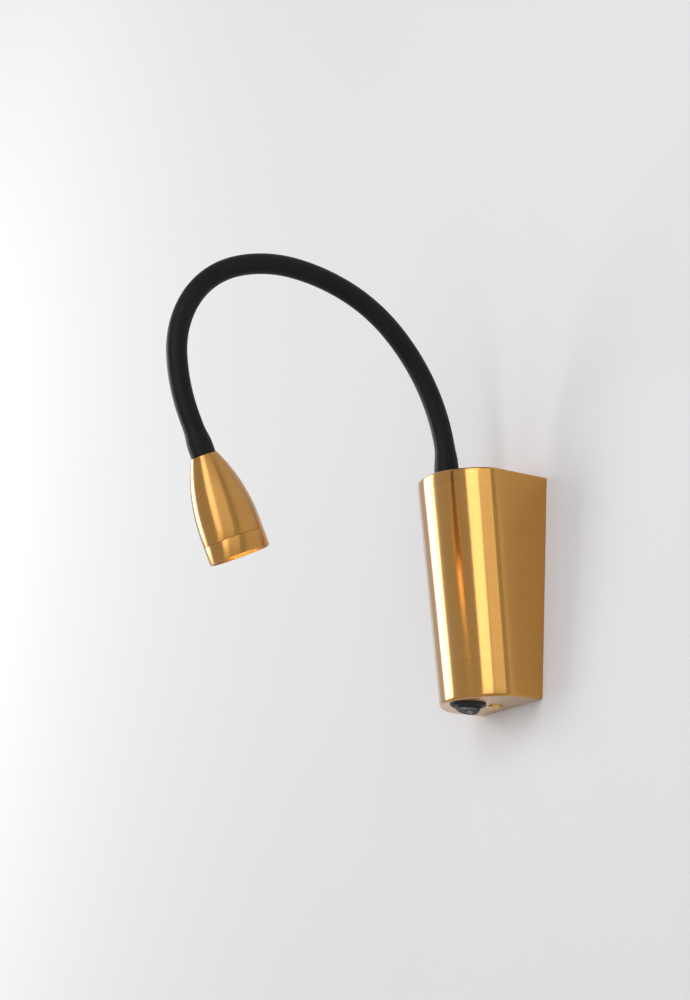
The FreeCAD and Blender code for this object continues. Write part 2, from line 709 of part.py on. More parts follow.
def make_terminal_block():
    """A three-pole terminal block with a well for each pole's screw."""
    body = new_body("terminal_block")
    body.Placement = facing_out(length("block_side"), float(block_rise()), -length("bracket_gauge"))
    block = new_sketch(body, "XY_Plane")
    draw_box(block, 0.0, 0.0, 0.5 * size("block_width"), 0.5 * size("block_height"))
    solid = pad(body, block, size("block_depth"))
    front = edges_where(solid.Shape, lambda edge: edge.BoundBox.ZMin > length("block_depth") - 1e-4)
    fillet(body, solid, front, 0.5 * size("driver_edge"))
    wells = new_sketch(body, "XY_Plane", size("block_depth"))
    for pole in (-1, 0, 1):
        draw_circle(wells, pole * size("pole_pitch"), 0, size("pole_radius"))
    pocket(body, wells, size("pole_depth"))


def make_terminal_screws():
    screws = []
    depth = length("bracket_gauge") + length("block_depth") - length("pole_depth")
    radius = length("pole_radius") - length("thread_fit")
    for pole in (-1, 0, 1):
        at = vector(length("block_side") + pole * length("pole_pitch"), -depth, block_rise())
        screw = Part.makeCylinder(radius, length("pole_screw_height"), at, vector(0, -1, 0))
        slot_at = at + vector(-radius, -length("pole_screw_height"), -0.4)
        slot = Part.makeBox(2 * radius, 1.0, 0.8, slot_at)
        screws.append(screw.cut(slot))
    new_solid("terminal_screws", Part.makeCompound(screws))


# Wires


def wire_path(points, bend):
    """Straight runs joined by arcs of the given radius."""
    edges = []
    start = points[0]
    for index in range(1, len(points) - 1):
        corner = points[index]
        back = (points[index - 1] - corner).normalize()
        ahead = (points[index + 1] - corner).normalize()
        half = back.getAngle(ahead) / 2
        inset = bend / math.tan(half)
        arc_start = corner + back * inset
        arc_end = corner + ahead * inset
        inward = (back + ahead).normalize()
        arc_middle = corner + inward * (bend / math.sin(half) - bend)
        edges.append(Part.LineSegment(start, arc_start).toShape())
        edges.append(Part.Arc(arc_start, arc_middle, arc_end).toShape())
        start = arc_end
    edges.append(Part.LineSegment(start, points[-1]).toShape())
    return Part.Wire(edges)


def wire_tube(points, radius, bend):
    path = wire_path(points, bend)
    heading = points[1] - points[0]
    section = Part.Wire(Part.makeCircle(radius, points[0], heading))
    tube = path.makePipeShell([section], True, False)
    expected = math.pi * radius * radius * path.Length
    if abs(tube.Volume / expected - 1) > 0.01:
        raise RuntimeError("a wire's volume is off")
    return tube


def make_wires():
    """The insulated wires in the base, each whole from end to end."""
    radius = length("wire_radius")
    bend = length("wire_bend")
    pitch = length("pole_pitch")
    block_x = length("block_side")
    block_top = float(block_rise()) + length("block_height") / 2
    block_low = float(block_rise()) - length("block_height") / 2
    driver_x = -length("driver_side")
    case_top = float(driver_top())
    back_out = length("bracket_gauge") + 5.0
    front_out = length("bracket_gauge") + length("driver_depth") - 4.0
    supply = []
    for index, (pole, rise) in enumerate(((-1, 8.0), (0, 12.0))):
        x = block_x + pole * pitch
        end_x = driver_x + 5.0 - 8.0 * index
        top = block_top + rise
        supply.append(wire_tube(
            [vector(x, -back_out, block_top), vector(x, -back_out, top),
             vector(end_x, -back_out, top + 3), vector(end_x, -back_out, case_top)],
            radius, bend))
    new_solid("supply_leads", Part.makeCompound(supply))
    switch_top = length("barrel_length") + length("blade_length") - float(HALF_HEIGHT)
    switched = []
    blades = [UNDERSIDE.multVec(vector(side * length("blade_pitch") / 2, 0, 0)) for side in (-1, 1)]
    ends = [vector(driver_x + 6, -front_out, -case_top), vector(block_x - pitch, -back_out - 3, block_low)]
    for blade, end in zip(blades, ends):
        low = vector(blade.x, blade.y, switch_top)
        middle = switch_top + 0.45 * (end.z - switch_top)
        switched.append(wire_tube(
            [low, vector(low.x, low.y, middle), vector(end.x, end.y, middle + 1.5), end], radius, bend))
    new_solid("switch_leads", Part.makeCompound(switched))
    output = []
    for side in (-1, 1):
        x = side * length("neck_wire_side")
        start = vector(driver_x + 4 * side, -front_out, case_top)
        end = EXIT.multVec(vector(x, 0, -length("nipple_length") - length("thread_fit")))
        below = EXIT.multVec(vector(x, 0, -length("nipple_length") - 8.0))
        middle = (start.z + below.z) / 2
        output.append(wire_tube(
            [start, vector(start.x, start.y, middle - 1), vector(below.x, below.y, middle + 1), end],
            radius, bend))
    new_solid("output_leads", Part.makeCompound(output))
    lug_end = length("screw_head_radius") * 0.85 + length("lug_length") / 2
    lug_out = length("bracket_gauge") + length("lug_gauge") / 2
    earth_start = vector(length("earth_side"), -lug_out - radius, lug_end + length("earth_rise") - float(HALF_HEIGHT))
    earth_x = block_x + pitch
    earth = wire_tube(
        [earth_start, vector(earth_start.x + 1, earth_start.y - 1.5, earth_start.z + 6),
         vector(earth_x, -back_out - 4, block_low - 6), vector(earth_x, -back_out - 4, block_low)],
        radius, bend)
    new_solid("earth_lead", earth)


# Switch


def make_switch_body():
    """The round rocker switch's body: bezel, barrel, well and pin holes."""
    body = new_body("switch_body")
    body.Placement = UNDERSIDE
    edge = 0.5 * size("bezel_gauge")
    revolve(body, (
        (0, size("well_depth")), (size("barrel_bore"), size("well_depth")),
        (size("barrel_bore"), -size("bezel_gauge")), (size("bezel_radius") - edge, -size("bezel_gauge")),
        (size("bezel_radius"), edge - size("bezel_gauge")), (size("bezel_radius"), 0),
        (size("barrel_radius"), 0), (size("barrel_radius"), size("barrel_length")),
        (0, size("barrel_length"))))
    holes = new_sketch(body, "XZ_Plane", -1.0 * (size("trunnion_reach") + 0.1))
    draw_circle(holes, 0, -size("hinge_depth"), size("trunnion_radius") + size("thread_fit"))
    pocket(body, holes, 2 * (size("trunnion_reach") + 0.1), reverse=True)
    clips = new_sketch(body, "XY_Plane", size("cover_floor"))
    for side in (-1, 1):
        draw_box(clips, side * size("barrel_radius"), 0.0, size("cover_edge"), 2 * size("cover_edge"))
    pad(body, clips, 3 * size("cover_edge"))


def make_rocker():
    """The rocker: a round button with two shallow faces and a pin at each side."""
    tip = FreeCAD.Placement(vector(0, 0, -length("hinge_depth")),
                            FreeCAD.Rotation(vector(0, 1, 0), length("rocker_throw")))
    body = new_body("switch_rocker")
    body.Placement = UNDERSIDE.multiply(tip)
    radius = length("rocker_radius")
    back = length("rocker_back")
    low = length("rocker_valley") + length("rocker_radius") * math.tan(math.radians(length("rocker_facet")))
    back_radius = math.sqrt(radius * radius - back * back)
    low_radius = math.sqrt(radius * radius - low * low)
    revolve(body, (
        (0, -low), (low_radius, -low, size("rocker_radius")), (back_radius, size("rocker_back")),
        (0, size("rocker_back"))))
    rise = math.tan(math.radians(length("rocker_facet")))
    wide = 1.2 * size("rocker_radius")
    deep = 2 * size("rocker_valley")
    faces = new_sketch(body, "XZ_Plane")
    draw_outline(faces, (
        (0, -size("rocker_valley")), (-wide, -size("rocker_valley") - rise * wide), (-wide, -deep),
        (wide, -deep), (wide, -size("rocker_valley") - rise * wide)))
    pierce(body, faces)
    pins = new_sketch(body, "XZ_Plane", -size("trunnion_reach"))
    draw_circle(pins, 0, 0, size("trunnion_radius"))
    pad(body, pins, 2 * size("trunnion_reach"))


def make_switch_terminals():
    blades = []
    wide = length("blade_width")
    thick = length("blade_gauge")
    for side in (-1, 1):
        at = vector(side * length("blade_pitch") / 2 - thick / 2, -wide / 2, length("barrel_length"))
        blades.append(Part.makeBox(thick, wide, length("blade_length"), at))
    new_solid("switch_terminals", Part.makeCompound(blades), UNDERSIDE)


# Neck


def make_nipple(label, place):
    """A hollow threaded nipple: its thread runs along -Z, the neck's core sits in its +Z end."""
    body = new_body(label)
    body.Placement = place
    socket = size("core_radius") + size("thread_fit")
    revolve(body, (
        (size("nipple_bore"), -size("nipple_length")), (size("nipple_radius"), -size("nipple_length")),
        (size("nipple_radius"), 0), (size("collar_radius"), 0), (size("collar_radius"), size("collar_height")),
        (socket, size("collar_height")), (socket, -size("socket_depth")),
        (size("nipple_bore"), -size("socket_depth"))))


def make_neck_fixings():
    make_nipple("neck_nipple", EXIT)
    washer = new_body("neck_washer")
    washer.Placement = EXIT
    under = size("cover_wall") + size("washer_gauge")
    inner = size("nipple_radius") + 2 * size("thread_fit")
    revolve(washer, (
        (inner, -under), (size("washer_radius"), -under),
        (size("washer_radius"), -size("cover_wall")), (inner, -size("cover_wall"))))
    nut = new_body("neck_nut")
    nut.Placement = EXIT
    drawing = new_sketch(nut, "XY_Plane", -(under + size("nut_height")))
    across = 2 / math.sqrt(3) * size("nut_half_flats")
    draw_outline(drawing, [
        (math.cos(math.radians(60 * side)) * across, math.sin(math.radians(60 * side)) * across)
        if side % 3 else ((1 - 2 * (side // 3)) * across, 0) for side in range(6)])
    pad(nut, drawing, size("nut_height"))
    bore = new_sketch(nut, "XY_Plane", -under)
    draw_circle(bore, 0, 0, size("nipple_radius") + size("thread_fit"))
    pocket(nut, bore, size("nut_height"))


def bent_rod(radius, reach, turn, aside=0.0):
    """A rod along a link: it starts at the origin along +Z and turns by turn degrees."""
    bend = reach / math.radians(turn)
    face = Part.Face(Part.Wire(Part.makeCircle(radius, vector(aside, 0, 0), vector(0, 0, 1))))
    return face.revolve(vector(0, -bend, 0), vector(1, 0, 0), turn)


def bent_tube(outer, inner, reach, turn):
    return bent_rod(outer, reach, turn).cut(bent_rod(inner, reach, turn))


def link_end(reach, turn):
    """The pivot at a link's far end, in the link's own frame."""
    return stepped(FreeCAD.Placement(), reach, turn)


def round_end(outer, inner, end):
    """The half ball that closes a layer of a link, with the bore for the wires."""
    axis = end.Rotation.multVec(vector(0, 0, 1))
    ball = Part.makeSphere(outer, end.Base, axis, 0, 90, 360)
    if inner:
        ball = ball.cut(Part.makeSphere(inner, end.Base, axis, 0, 90, 360))
    bore = Part.makeCylinder(length("core_bore"), outer * 1.1, end.Base, axis)
    return ball.cut(bore)


def hollow_start():
    """The ball-shaped hollow at a link's near end, where the link before it turns."""
    return Part.makeSphere(length("sleeve_radius") + length("ball_gap"), vector(0, 0, 0))


def sleeve_bore():
    return length("core_radius") + length("thread_fit")


def sleeve_link(reach, turn):
    tube = bent_tube(length("sleeve_radius"), sleeve_bore(), reach, turn)
    end = round_end(length("sleeve_radius"), sleeve_bore(), link_end(reach, turn))
    return tube.fuse(end).cut(hollow_start())


def core_link(reach, turn):
    tube = bent_tube(length("core_radius"), length("core_bore"), reach, turn)
    end = round_end(length("core_radius"), 0, link_end(reach, turn))
    return tube.fuse(end).cut(hollow_start())


def wire_link(reach, turn, before=0.0):
    """The two wires in one link, up to the round end and a little before the start."""
    wires = []
    end = link_end(reach, turn)
    axis = end.Rotation.multVec(vector(0, 0, 1))
    inside = length("sleeve_radius") - length("ball_gap")
    for side in (-1, 1):
        aside = side * length("neck_wire_side")
        wire = bent_rod(length("neck_wire_radius"), reach, turn, aside)
        far = Part.makeCylinder(length("neck_wire_radius"), inside, end.Base + vector(aside, 0, 0), axis)
        wire = wire.fuse(far)
        if before:
            wire = wire.fuse(Part.makeCylinder(
                length("neck_wire_radius"), before, vector(aside, 0, -before), vector(0, 0, 1)))
        wires.append(wire)
    return wires


def make_links():
    """The flexible part of the neck, one link after another, in three layers."""
    reach = length("link_length")
    for index, turn in enumerate(LINK_TURNS):
        place = PIVOTS[index]
        number = index + 1
        new_solid("neck_sleeve_%d" % number, sleeve_link(reach, turn), place)
        new_solid("neck_core_%d" % number, core_link(reach, turn), place)
        hollow = hollow_start()
        wires = [wire.cut(hollow) for wire in wire_link(reach, turn)]
        new_solid("neck_wires_%d" % number, Part.makeCompound(wires), place)


def make_neck_foot():
    """The neck's lower end, which stays on the cover: thick sleeve, core and wires."""
    reach = length("neck_lead")
    turn = length("neck_lead_turn")
    straight = length("boot_straight") / reach
    sections = []
    for share in (0.0, straight / 2, straight, 0.5 * (1 + straight), 1.0):
        thick = length("boot_radius") - length("sleeve_radius")
        taper = max(0.0, (share - straight) / (1 - straight))
        radius = length("sleeve_radius") + thick * 0.5 * (1 + math.cos(math.pi * taper))
        at = stepped(FreeCAD.Placement(), reach * share, turn * share) if share else FreeCAD.Placement()
        axis = at.Rotation.multVec(vector(0, 0, 1))
        sections.append(Part.Wire(Part.makeCircle(radius, at.Base, axis)))
    boot = Part.makeLoft(sections, True).cut(bent_rod(sleeve_bore(), reach, turn))
    collar = Part.makeCylinder(length("collar_radius") + length("thread_fit"),
                               length("collar_height") + length("thread_fit"))
    end = round_end(length("sleeve_radius"), sleeve_bore(), link_end(reach, turn))
    new_solid("neck_sleeve_foot", boot.cut(collar).fuse(end), EXIT)
    core = bent_tube(length("core_radius"), length("core_bore"), reach, turn)
    depth = length("socket_depth")
    plug = Part.makeCylinder(length("core_radius"), depth, vector(0, 0, -depth)).cut(
        Part.makeCylinder(length("core_bore"), depth, vector(0, 0, -depth)))
    end = round_end(length("core_radius"), 0, link_end(reach, turn))
    new_solid("neck_core_foot", core.fuse(plug).fuse(end), EXIT)
    wires = wire_link(reach, turn, length("nipple_length"))
    new_solid("neck_wires_foot", Part.makeCompound(wires), EXIT)


def make_neck_tip():
    """The neck's upper end, which stays in the head: thick sleeve, core and wires."""
    start = -size("head_lead")
    hollow = size("sleeve_radius") + size("ball_gap")
    bore = size("core_radius") + size("thread_fit")
    collar = size("collar_radius") + size("thread_fit")

    def rim(radius):
        """Where the hollow start meets a tube of this radius."""
        return start + math.sqrt(float(hollow) ** 2 - float(radius) ** 2)

    sleeve = new_body("neck_sleeve_tip")
    sleeve.Placement = HEAD
    lip = size("collar_height") + size("thread_fit")
    revolve(sleeve, (
        (bore, rim(bore), hollow * -1), (size("sleeve_radius"), rim(size("sleeve_radius"))),
        (size("boot_radius"), -size("boot_straight")), (size("boot_radius"), 0), (collar, 0),
        (collar, -lip), (bore, -lip)))
    core = new_body("neck_core_tip")
    core.Placement = HEAD
    revolve(core, (
        (size("core_bore"), rim(size("core_bore")), hollow * -1),
        (size("core_radius"), rim(size("core_radius"))), (size("core_radius"), size("socket_depth")),
        (size("core_bore"), size("socket_depth"))))
    reach = length("head_lead")
    wires = []
    for side in (-1, 1):
        at = vector(side * length("neck_wire_side"), 0, -reach)
        full = reach + length("shade_neck")
        wire = Part.makeCylinder(length("neck_wire_radius"), full, at, vector(0, 0, 1))
        wires.append(wire.cut(Part.makeSphere(float(hollow), vector(0, 0, -reach))))
    new_solid("neck_wires_tip", Part.makeCompound(wires), HEAD)


# Head


def make_shade():
    """The head's shell: a threaded top, a curved outside and a thread for the front ring."""
    body = new_body("head_shell")
    body.Placement = HEAD
    thread = size("nipple_radius") + size("thread_fit")
    seam = size("shade_length") - size("ring_length")
    drop = length("shade_radius") - length("shade_top")
    curve_end = size("shade_length") - size("shade_straight")
    run = float(curve_end) - length("shade_chamfer")
    bulge = (drop * drop + run * run) / (2 * drop)
    ledge = size("shade_bore") - size("seat_ledge")
    thread_end = seam + size("spigot_length")
    revolve(body, (
        (thread, 0), (size("shade_top") - size("shade_chamfer"), 0),
        (size("shade_top"), size("shade_chamfer"), bulge), (size("shade_radius"), curve_end),
        (size("shade_radius"), seam), (size("spigot_radius"), seam), (size("spigot_radius"), thread_end),
        (size("shade_bore"), thread_end), (size("shade_bore"), slug_seat()),
        (ledge, slug_seat()), (ledge, slug_seat() - 3 * size("seat_ledge")),
        (thread + 1.5, size("shade_neck")), (thread, size("shade_neck"))))


def slug_seat():
    """From the head's top to the heat sink's seat."""
    return size("shade_length") - size("slug_recess")


def lens_front():
    """From the head's top to the front of the lens."""
    return size("shade_length") - size("lens_recess")


def make_heat_sink():
    body = new_body("heat_sink")
    body.Placement = HEAD
    disc = new_sketch(body, "XY_Plane", slug_seat())
    draw_circle(disc, 0, 0, size("shade_bore") - size("thread_fit"))
    pad(body, disc, size("slug_height"))
    top = slug_seat() + size("slug_height")
    holes = new_sketch(body, "XY_Plane", top)
    for side in (-1, 1):
        draw_circle(holes, side * size("slug_wire_side"), 0, size("slug_wire_hole"))
        draw_circle(holes, 0, side * size("board_screw_side"),
                    size("small_screw_radius") + size("thread_fit"))
    pocket(body, holes, size("slug_height"))


def make_led():
    """The LED board on the heat sink, its emitter and its two screws."""
    top = slug_seat() + size("slug_height")
    board = new_body("led_board")
    board.Placement = HEAD
    disc = new_sketch(board, "XY_Plane", top)
    draw_circle(disc, 0, 0, size("board_radius"))
    for side in (-1, 1):
        draw_circle(disc, 0, side * size("board_screw_side"),
                    size("small_screw_radius") + 2 * size("thread_fit"))
    pad(board, disc, size("board_gauge"))
    front = top + size("board_gauge")
    emitter = new_body("led_emitter")
    emitter.Placement = HEAD
    edge = 0.4 * size("led_height")
    revolve(emitter, (
        (0, front), (size("led_radius"), front), (size("led_radius"), front + size("led_height") - edge),
        (size("led_radius") - edge, front + size("led_height")), (0, front + size("led_height"))))
    screws = []
    for side in (-1, 1):
        at = vector(0, side * length("board_screw_side"), float(front))
        along = vector(0, 0, 1)
        shank = length("slug_height") * 0.6 + length("board_gauge")
        screw = Part.makeCylinder(length("small_screw_radius"), shank, at, -along)
        head = Part.makeCylinder(length("small_head_radius") * 0.9, 0.8 * length("small_head_height"), at, along)
        screws.append(screw.fuse(head))
    new_solid("board_screws", Part.makeCompound(screws), HEAD)


def make_head_leads():
    """The two wires from the neck to the LED board, through the heat sink."""
    leads = []
    radius = length("wire_radius")
    seat = float(slug_seat())
    run = (seat - length("shade_neck")) * 4 / 15
    for side in (-1, 1):
        start = vector(side * length("neck_wire_side") * 1.05, 0, length("shade_neck") + 0.0)
        end_x = side * length("slug_wire_side")
        leads.append(wire_tube(
            [start, start + vector(0, 0, run), vector(end_x, 0, seat - run),
             vector(end_x, 0, seat + length("slug_height"))],
            radius * 0.95, length("wire_bend")))
    new_solid("head_leads", Part.makeCompound(leads), HEAD)


def make_optics():
    """The lens, its holder on the heat sink, and its gasket."""
    seat = slug_seat() + size("slug_height")
    led_top = seat + size("board_gauge") + size("led_height")
    foot = led_top + size("lens_gap")
    front = lens_front()
    under = front - size("lens_flange")
    lens = new_body("lens")
    lens.Placement = HEAD
    revolve(lens, (
        (0, front), (0, foot + size("lens_cup_depth")),
        (0.8 * size("lens_cup"), foot + size("lens_cup_depth")), (size("lens_cup"), foot),
        (size("lens_foot"), foot), (size("lens_body"), under), (size("lens_radius"), under),
        (size("lens_radius"), front)))
    holder = new_body("lens_holder")
    holder.Placement = HEAD
    outside = size("shade_bore") - 2 * size("thread_fit")
    gap = 0.3
    room = size("board_radius") + gap
    ceiling = led_top + size("small_head_height")
    revolve(holder, (
        (room, seat), (outside, seat), (outside, under), (size("lens_body") + gap, under),
        (holder_throat(ceiling, foot, under) + gap, ceiling), (room, ceiling)))
    gasket = new_body("lens_gasket")
    gasket.Placement = HEAD
    revolve(gasket, (
        (size("throat_radius"), front), (size("lens_radius"), front),
        (size("lens_radius"), front + size("gasket_gauge")),
        (size("throat_radius"), front + size("gasket_gauge"))))


def holder_throat(ceiling, foot, under):
    """The lens's own radius where the holder's funnel starts."""
    share = (float(ceiling) - float(foot)) / (float(under) - float(foot))
    return size("lens_foot") + share * (size("lens_body") - size("lens_foot"))


def make_front_ring():
    """The front ring: it screws on the shell, holds the lens and has a grooved mouth."""
    body = new_body("front_ring")
    body.Placement = HEAD
    seam = size("shade_length") - size("ring_length")
    back = lens_front() + size("gasket_gauge")
    lip = back + size("throat_lip")
    thread = size("spigot_radius") + size("thread_fit")
    thread_end = seam + size("spigot_length") + 2 * size("thread_fit")
    skirt = size("shade_bore") - 2 * size("thread_fit")
    count = int(length("groove_count"))
    rim = size("shade_length") - size("shade_chamfer")
    step_out = (1 / count) * (size("mouth_radius") - size("throat_radius"))
    step_up = (1 / count) * (rim - lip)
    steps = []
    for index in range(count, 0, -1):
        radius = size("throat_radius") + index * step_out
        height = lip + index * step_up
        steps.append((radius, height))
        steps.append((radius, height - 0.8 * step_up))
    revolve(body, (
        (thread, seam), (size("shade_radius"), seam), (size("shade_radius"), rim),
        (size("shade_radius") - size("shade_chamfer"), size("shade_length")),
        (size("mouth_radius") + 0.2, size("shade_length")), *steps,
        (size("throat_radius"), lip), (size("throat_radius"), back), (skirt, back),
        (skirt, thread_end), (thread, thread_end)))


def check_and_write():
    """Stops on a failed feature or a bad solid, then writes one file for each piece."""
    DOC.recompute()
    for item in DOC.Objects:
        if "Invalid" in item.State or "Error" in item.State:
            raise RuntimeError("%s failed: %s" % (item.Label, item.State))
    os.makedirs("parts", exist_ok=True)
    for piece in PIECES:
        shape = piece.Shape
        if shape.isNull() or not shape.isValid() or not shape.Solids:
            raise RuntimeError("%s has no valid solid" % piece.Label)
        shape.exportStep("parts/%s.step" % piece.Label)
        print("%-20s %d solid(s) %10.1f mm3" % (piece.Label, len(shape.Solids), shape.Volume))


make_cover()
make_bracket()
make_cover_screw()
make_earth()
make_driver()
make_driver_screws()
make_terminal_block()
make_terminal_screws()
make_wires()
make_switch_body()
make_rocker()
make_switch_terminals()
make_neck_fixings()
make_neck_foot()
make_links()
make_neck_tip()
make_nipple("head_nipple", HEAD.multiply(tilted(0, 0, 180)))
make_shade()
make_heat_sink()
make_led()
make_head_leads()
make_optics()
make_front_ring()
check_and_write()
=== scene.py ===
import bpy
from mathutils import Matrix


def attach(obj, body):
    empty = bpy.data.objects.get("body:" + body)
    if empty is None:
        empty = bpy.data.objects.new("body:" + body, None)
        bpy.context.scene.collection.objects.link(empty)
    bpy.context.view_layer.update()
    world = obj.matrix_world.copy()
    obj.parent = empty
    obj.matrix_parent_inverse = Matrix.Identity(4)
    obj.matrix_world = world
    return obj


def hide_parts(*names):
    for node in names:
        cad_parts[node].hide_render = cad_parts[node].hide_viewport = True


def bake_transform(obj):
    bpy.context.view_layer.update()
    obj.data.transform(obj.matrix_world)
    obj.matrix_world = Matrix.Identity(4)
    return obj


bl_info = {
    "name": "Bedside Wall Reading Lamp",
    "version": (1, 0, 0),
    "blender": (4, 5, 0),
    "location": "View3D > Sidebar > Reading Lamp",
    "description": "Dresses the packed frame of a bedside wall reading lamp and lights it",
    "category": "Object",
}

import math

import bmesh
import bpy
from mathutils import Matrix, Vector

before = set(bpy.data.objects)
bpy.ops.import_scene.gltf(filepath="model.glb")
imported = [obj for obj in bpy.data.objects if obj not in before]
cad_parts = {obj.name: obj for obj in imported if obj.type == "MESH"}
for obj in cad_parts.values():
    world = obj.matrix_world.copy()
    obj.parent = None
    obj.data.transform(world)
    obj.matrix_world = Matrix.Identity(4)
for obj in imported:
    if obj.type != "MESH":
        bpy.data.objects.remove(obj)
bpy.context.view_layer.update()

MM = 0.001

# The joint in the crown of the bend lists its two ends from its head side: from the base
# side, a blend loses the turn between the two bodies when every joint is at its upper limit.
STEADY_FROM_TIP = 4

# Degrees that each of the gooseneck's eight links turns, from the base to the head.
LINK_TURNS = (17.0, 16.4, 21.4, 18.2, 26.8, 39.6, 34.3, 18.4)


# Points of the neck's middle line, 1 mm apart, from a joint to each of the two ends picked for it.
BLEND_REACH = 15

# The brushing's grain: metres across and round the piece, and along its axis.
FINE_GRAIN = (0.07, 0.07, 0.0006)
BROAD_GRAIN = (0.25, 0.25, 0.004)
GRAIN_DEPTH = 0.000001

# The room's colour as metal and glass see it, and as the camera sees it past the wall.
ROOM = (0.55, 0.55, 0.555, 1)
BEYOND = (0.82, 0.82, 0.84, 1)

# Soft boxes: name, azimuth and elevation in degrees, distance, width and height in metres,
# brightness and tint.
LIGHTS = (("Key", 147, 8, 1.7, 0.66, 1.05, 7.0, (1, 1, 1)),
          ("Fill", 65.5, 14, 0.75, 0.24, 0.85, 2.5, (1.0, 0.98, 1.12)),
          ("Side", 36, 12, 1.2, 0.88, 1.1, 0.8, (1, 1, 1)))


# ---------------------------------------------------------------- sizes and colours


def distance(name, description, default):
    return bpy.props.FloatProperty(name=name, description=description, default=default,
                                   min=0.0, unit="LENGTH", subtype="DISTANCE", precision=5)


def angle(name, description, degrees):
    return bpy.props.FloatProperty(name=name, description=description, unit="ROTATION",
                                   default=math.radians(degrees), subtype="ANGLE")


def colour(name, description, default):
    return bpy.props.FloatVectorProperty(name=name, description=description, default=default,
                                         size=3, min=0.0, max=1.0, subtype="COLOR")


def share(name, description, default):
    return bpy.props.FloatProperty(name=name, description=description, default=default,
                                   min=0.0, max=1.0, subtype="FACTOR")


class CoverSizes(bpy.types.PropertyGroup):
    """Sizes of the brass cover on the wall."""
    height: distance("Height", "Height of the cover at the wall", 110 * MM)
    low_half_width: distance("Half width below", "Half of the width at the underside", 31 * MM)
    high_half_width: distance("Half width above", "Half of the width at the top", 34.5 * MM)
    low_depth: distance("Depth below", "How far the underside stands out", 35 * MM)
    high_depth: distance("Depth above", "How far the top stands out", 49 * MM)
    corner: distance("Corner", "Radius where each side turns into the nose", 12 * MM)
    nose: bpy.props.FloatProperty(
        name="Nose", description="Nose radius less corner radius, for each metre from "
        "the corner's centre to the middle", default=1.305)
    top_tilt: angle("Top tilt", "How much the top rises towards the nose", 2.7)
    wall: distance("Wall", "Thickness of the sides and the top", 1.6 * MM)
    floor: distance("Floor", "Thickness of the underside", 2.2 * MM)
    edge: distance("Edge", "Rounding of the top and bottom edges", 1.5 * MM)
    switch_out: distance("Switch place", "From the wall to the switch's middle", 24 * MM)
    screw_out: distance("Screw place", "From the wall to the cover screw", 9 * MM)


class NeckSizes(bpy.types.PropertyGroup):
    """Sizes of the flexible neck."""
    out: distance("Place", "From the wall to where the neck leaves the cover", 37.6 * MM)
    foot: distance("Foot", "Length of the thick lower end", 18 * MM)
    foot_turn: angle("Foot turn", "How much the lower end bends", 14.5)
    link: distance("Link", "Length of one link", 31 * MM)
    tip: distance("Tip", "Length of the thick upper end", 20 * MM)
    sleeve: distance("Sleeve", "Radius of the rubber sleeve", 5.1 * MM)
    boot: distance("Boot", "Radius of the sleeve's thick ends", 6.1 * MM)
    boot_straight: distance("Boot length", "Thick part before it tapers", 5 * MM)
    core: distance("Core", "Radius of the wound steel core", 4.1 * MM)
    core_bore: distance("Core bore", "Radius of the bore in the core", 2 * MM)
    wire: distance("Wire", "Radius of a wire in the neck", 0.75 * MM)
    wire_side: distance("Wire place", "Each wire's distance from the middle", 1.2 * MM)
    sides: bpy.props.IntProperty(name="Sides", description="Facets round the sleeve",
                                 default=48, min=8, max=128)


class HeadSizes(bpy.types.PropertyGroup):
    """Sizes of the spot head."""
    radius: distance("Radius", "Outer radius of the head", 15 * MM)
    top: distance("Top radius", "Radius where the neck enters", 6.8 * MM)
    length: distance("Length", "Length of the head", 50.5 * MM)
    curve: distance("Curve", "Length of the curved part", 37 * MM)
    ring: distance("Ring", "Length of the front ring", 8.7 * MM)
    edge: distance("Edge", "Chamfer of the head's edges", 0.4 * MM)
    bore: distance("Bore", "Radius of the head's bore", 11.8 * MM)
    mouth: distance("Mouth", "Radius of the front ring's mouth", 14.2 * MM)
    throat: distance("Throat", "Radius of the front ring's throat", 10.8 * MM)
    grooves: bpy.props.IntProperty(name="Grooves", description="Anti-glare grooves in the mouth",
                                   default=12, min=3, max=30)


class SwitchSizes(bpy.types.PropertyGroup):
    """Sizes of the round rocker switch and of the screw beside it."""
    turn: angle("Turn", "How the switch is turned in its round hole", 120)
    bezel: distance("Bezel", "Radius of the bezel", 9 * MM)
    bezel_gauge: distance("Bezel gauge", "Thickness of the bezel", 1.5 * MM)
    barrel: distance("Barrel", "Radius of the barrel", 7.5 * MM)
    barrel_length: distance("Barrel length", "Length inside the cover", 14 * MM)
    well: distance("Well", "Radius of the rocker's well", 7 * MM)
    well_depth: distance("Well depth", "Depth of the well inside the cover", 3 * MM)
    hinge: distance("Hinge", "Rocker's hinge below the underside", 0.1 * MM)
    rocker: distance("Rocker", "Radius of the rocker's round ends", 6.6 * MM)
    valley: distance("Valley", "From the hinge to the rocker's middle", 3 * MM)
    back: distance("Back", "From the hinge to the rocker's inner side", 1.3 * MM)
    facet: angle("Facet", "Slope of each of the rocker's two faces", 7)
    throw: angle("Throw", "How far the rocker tips to each side", 12)
    mark_gap: distance("Marks", "From each mark to the rocker's middle", 2.7 * MM)
    screw_head: distance("Screw head", "Radius of the cover screw's pan head", 4 * MM)


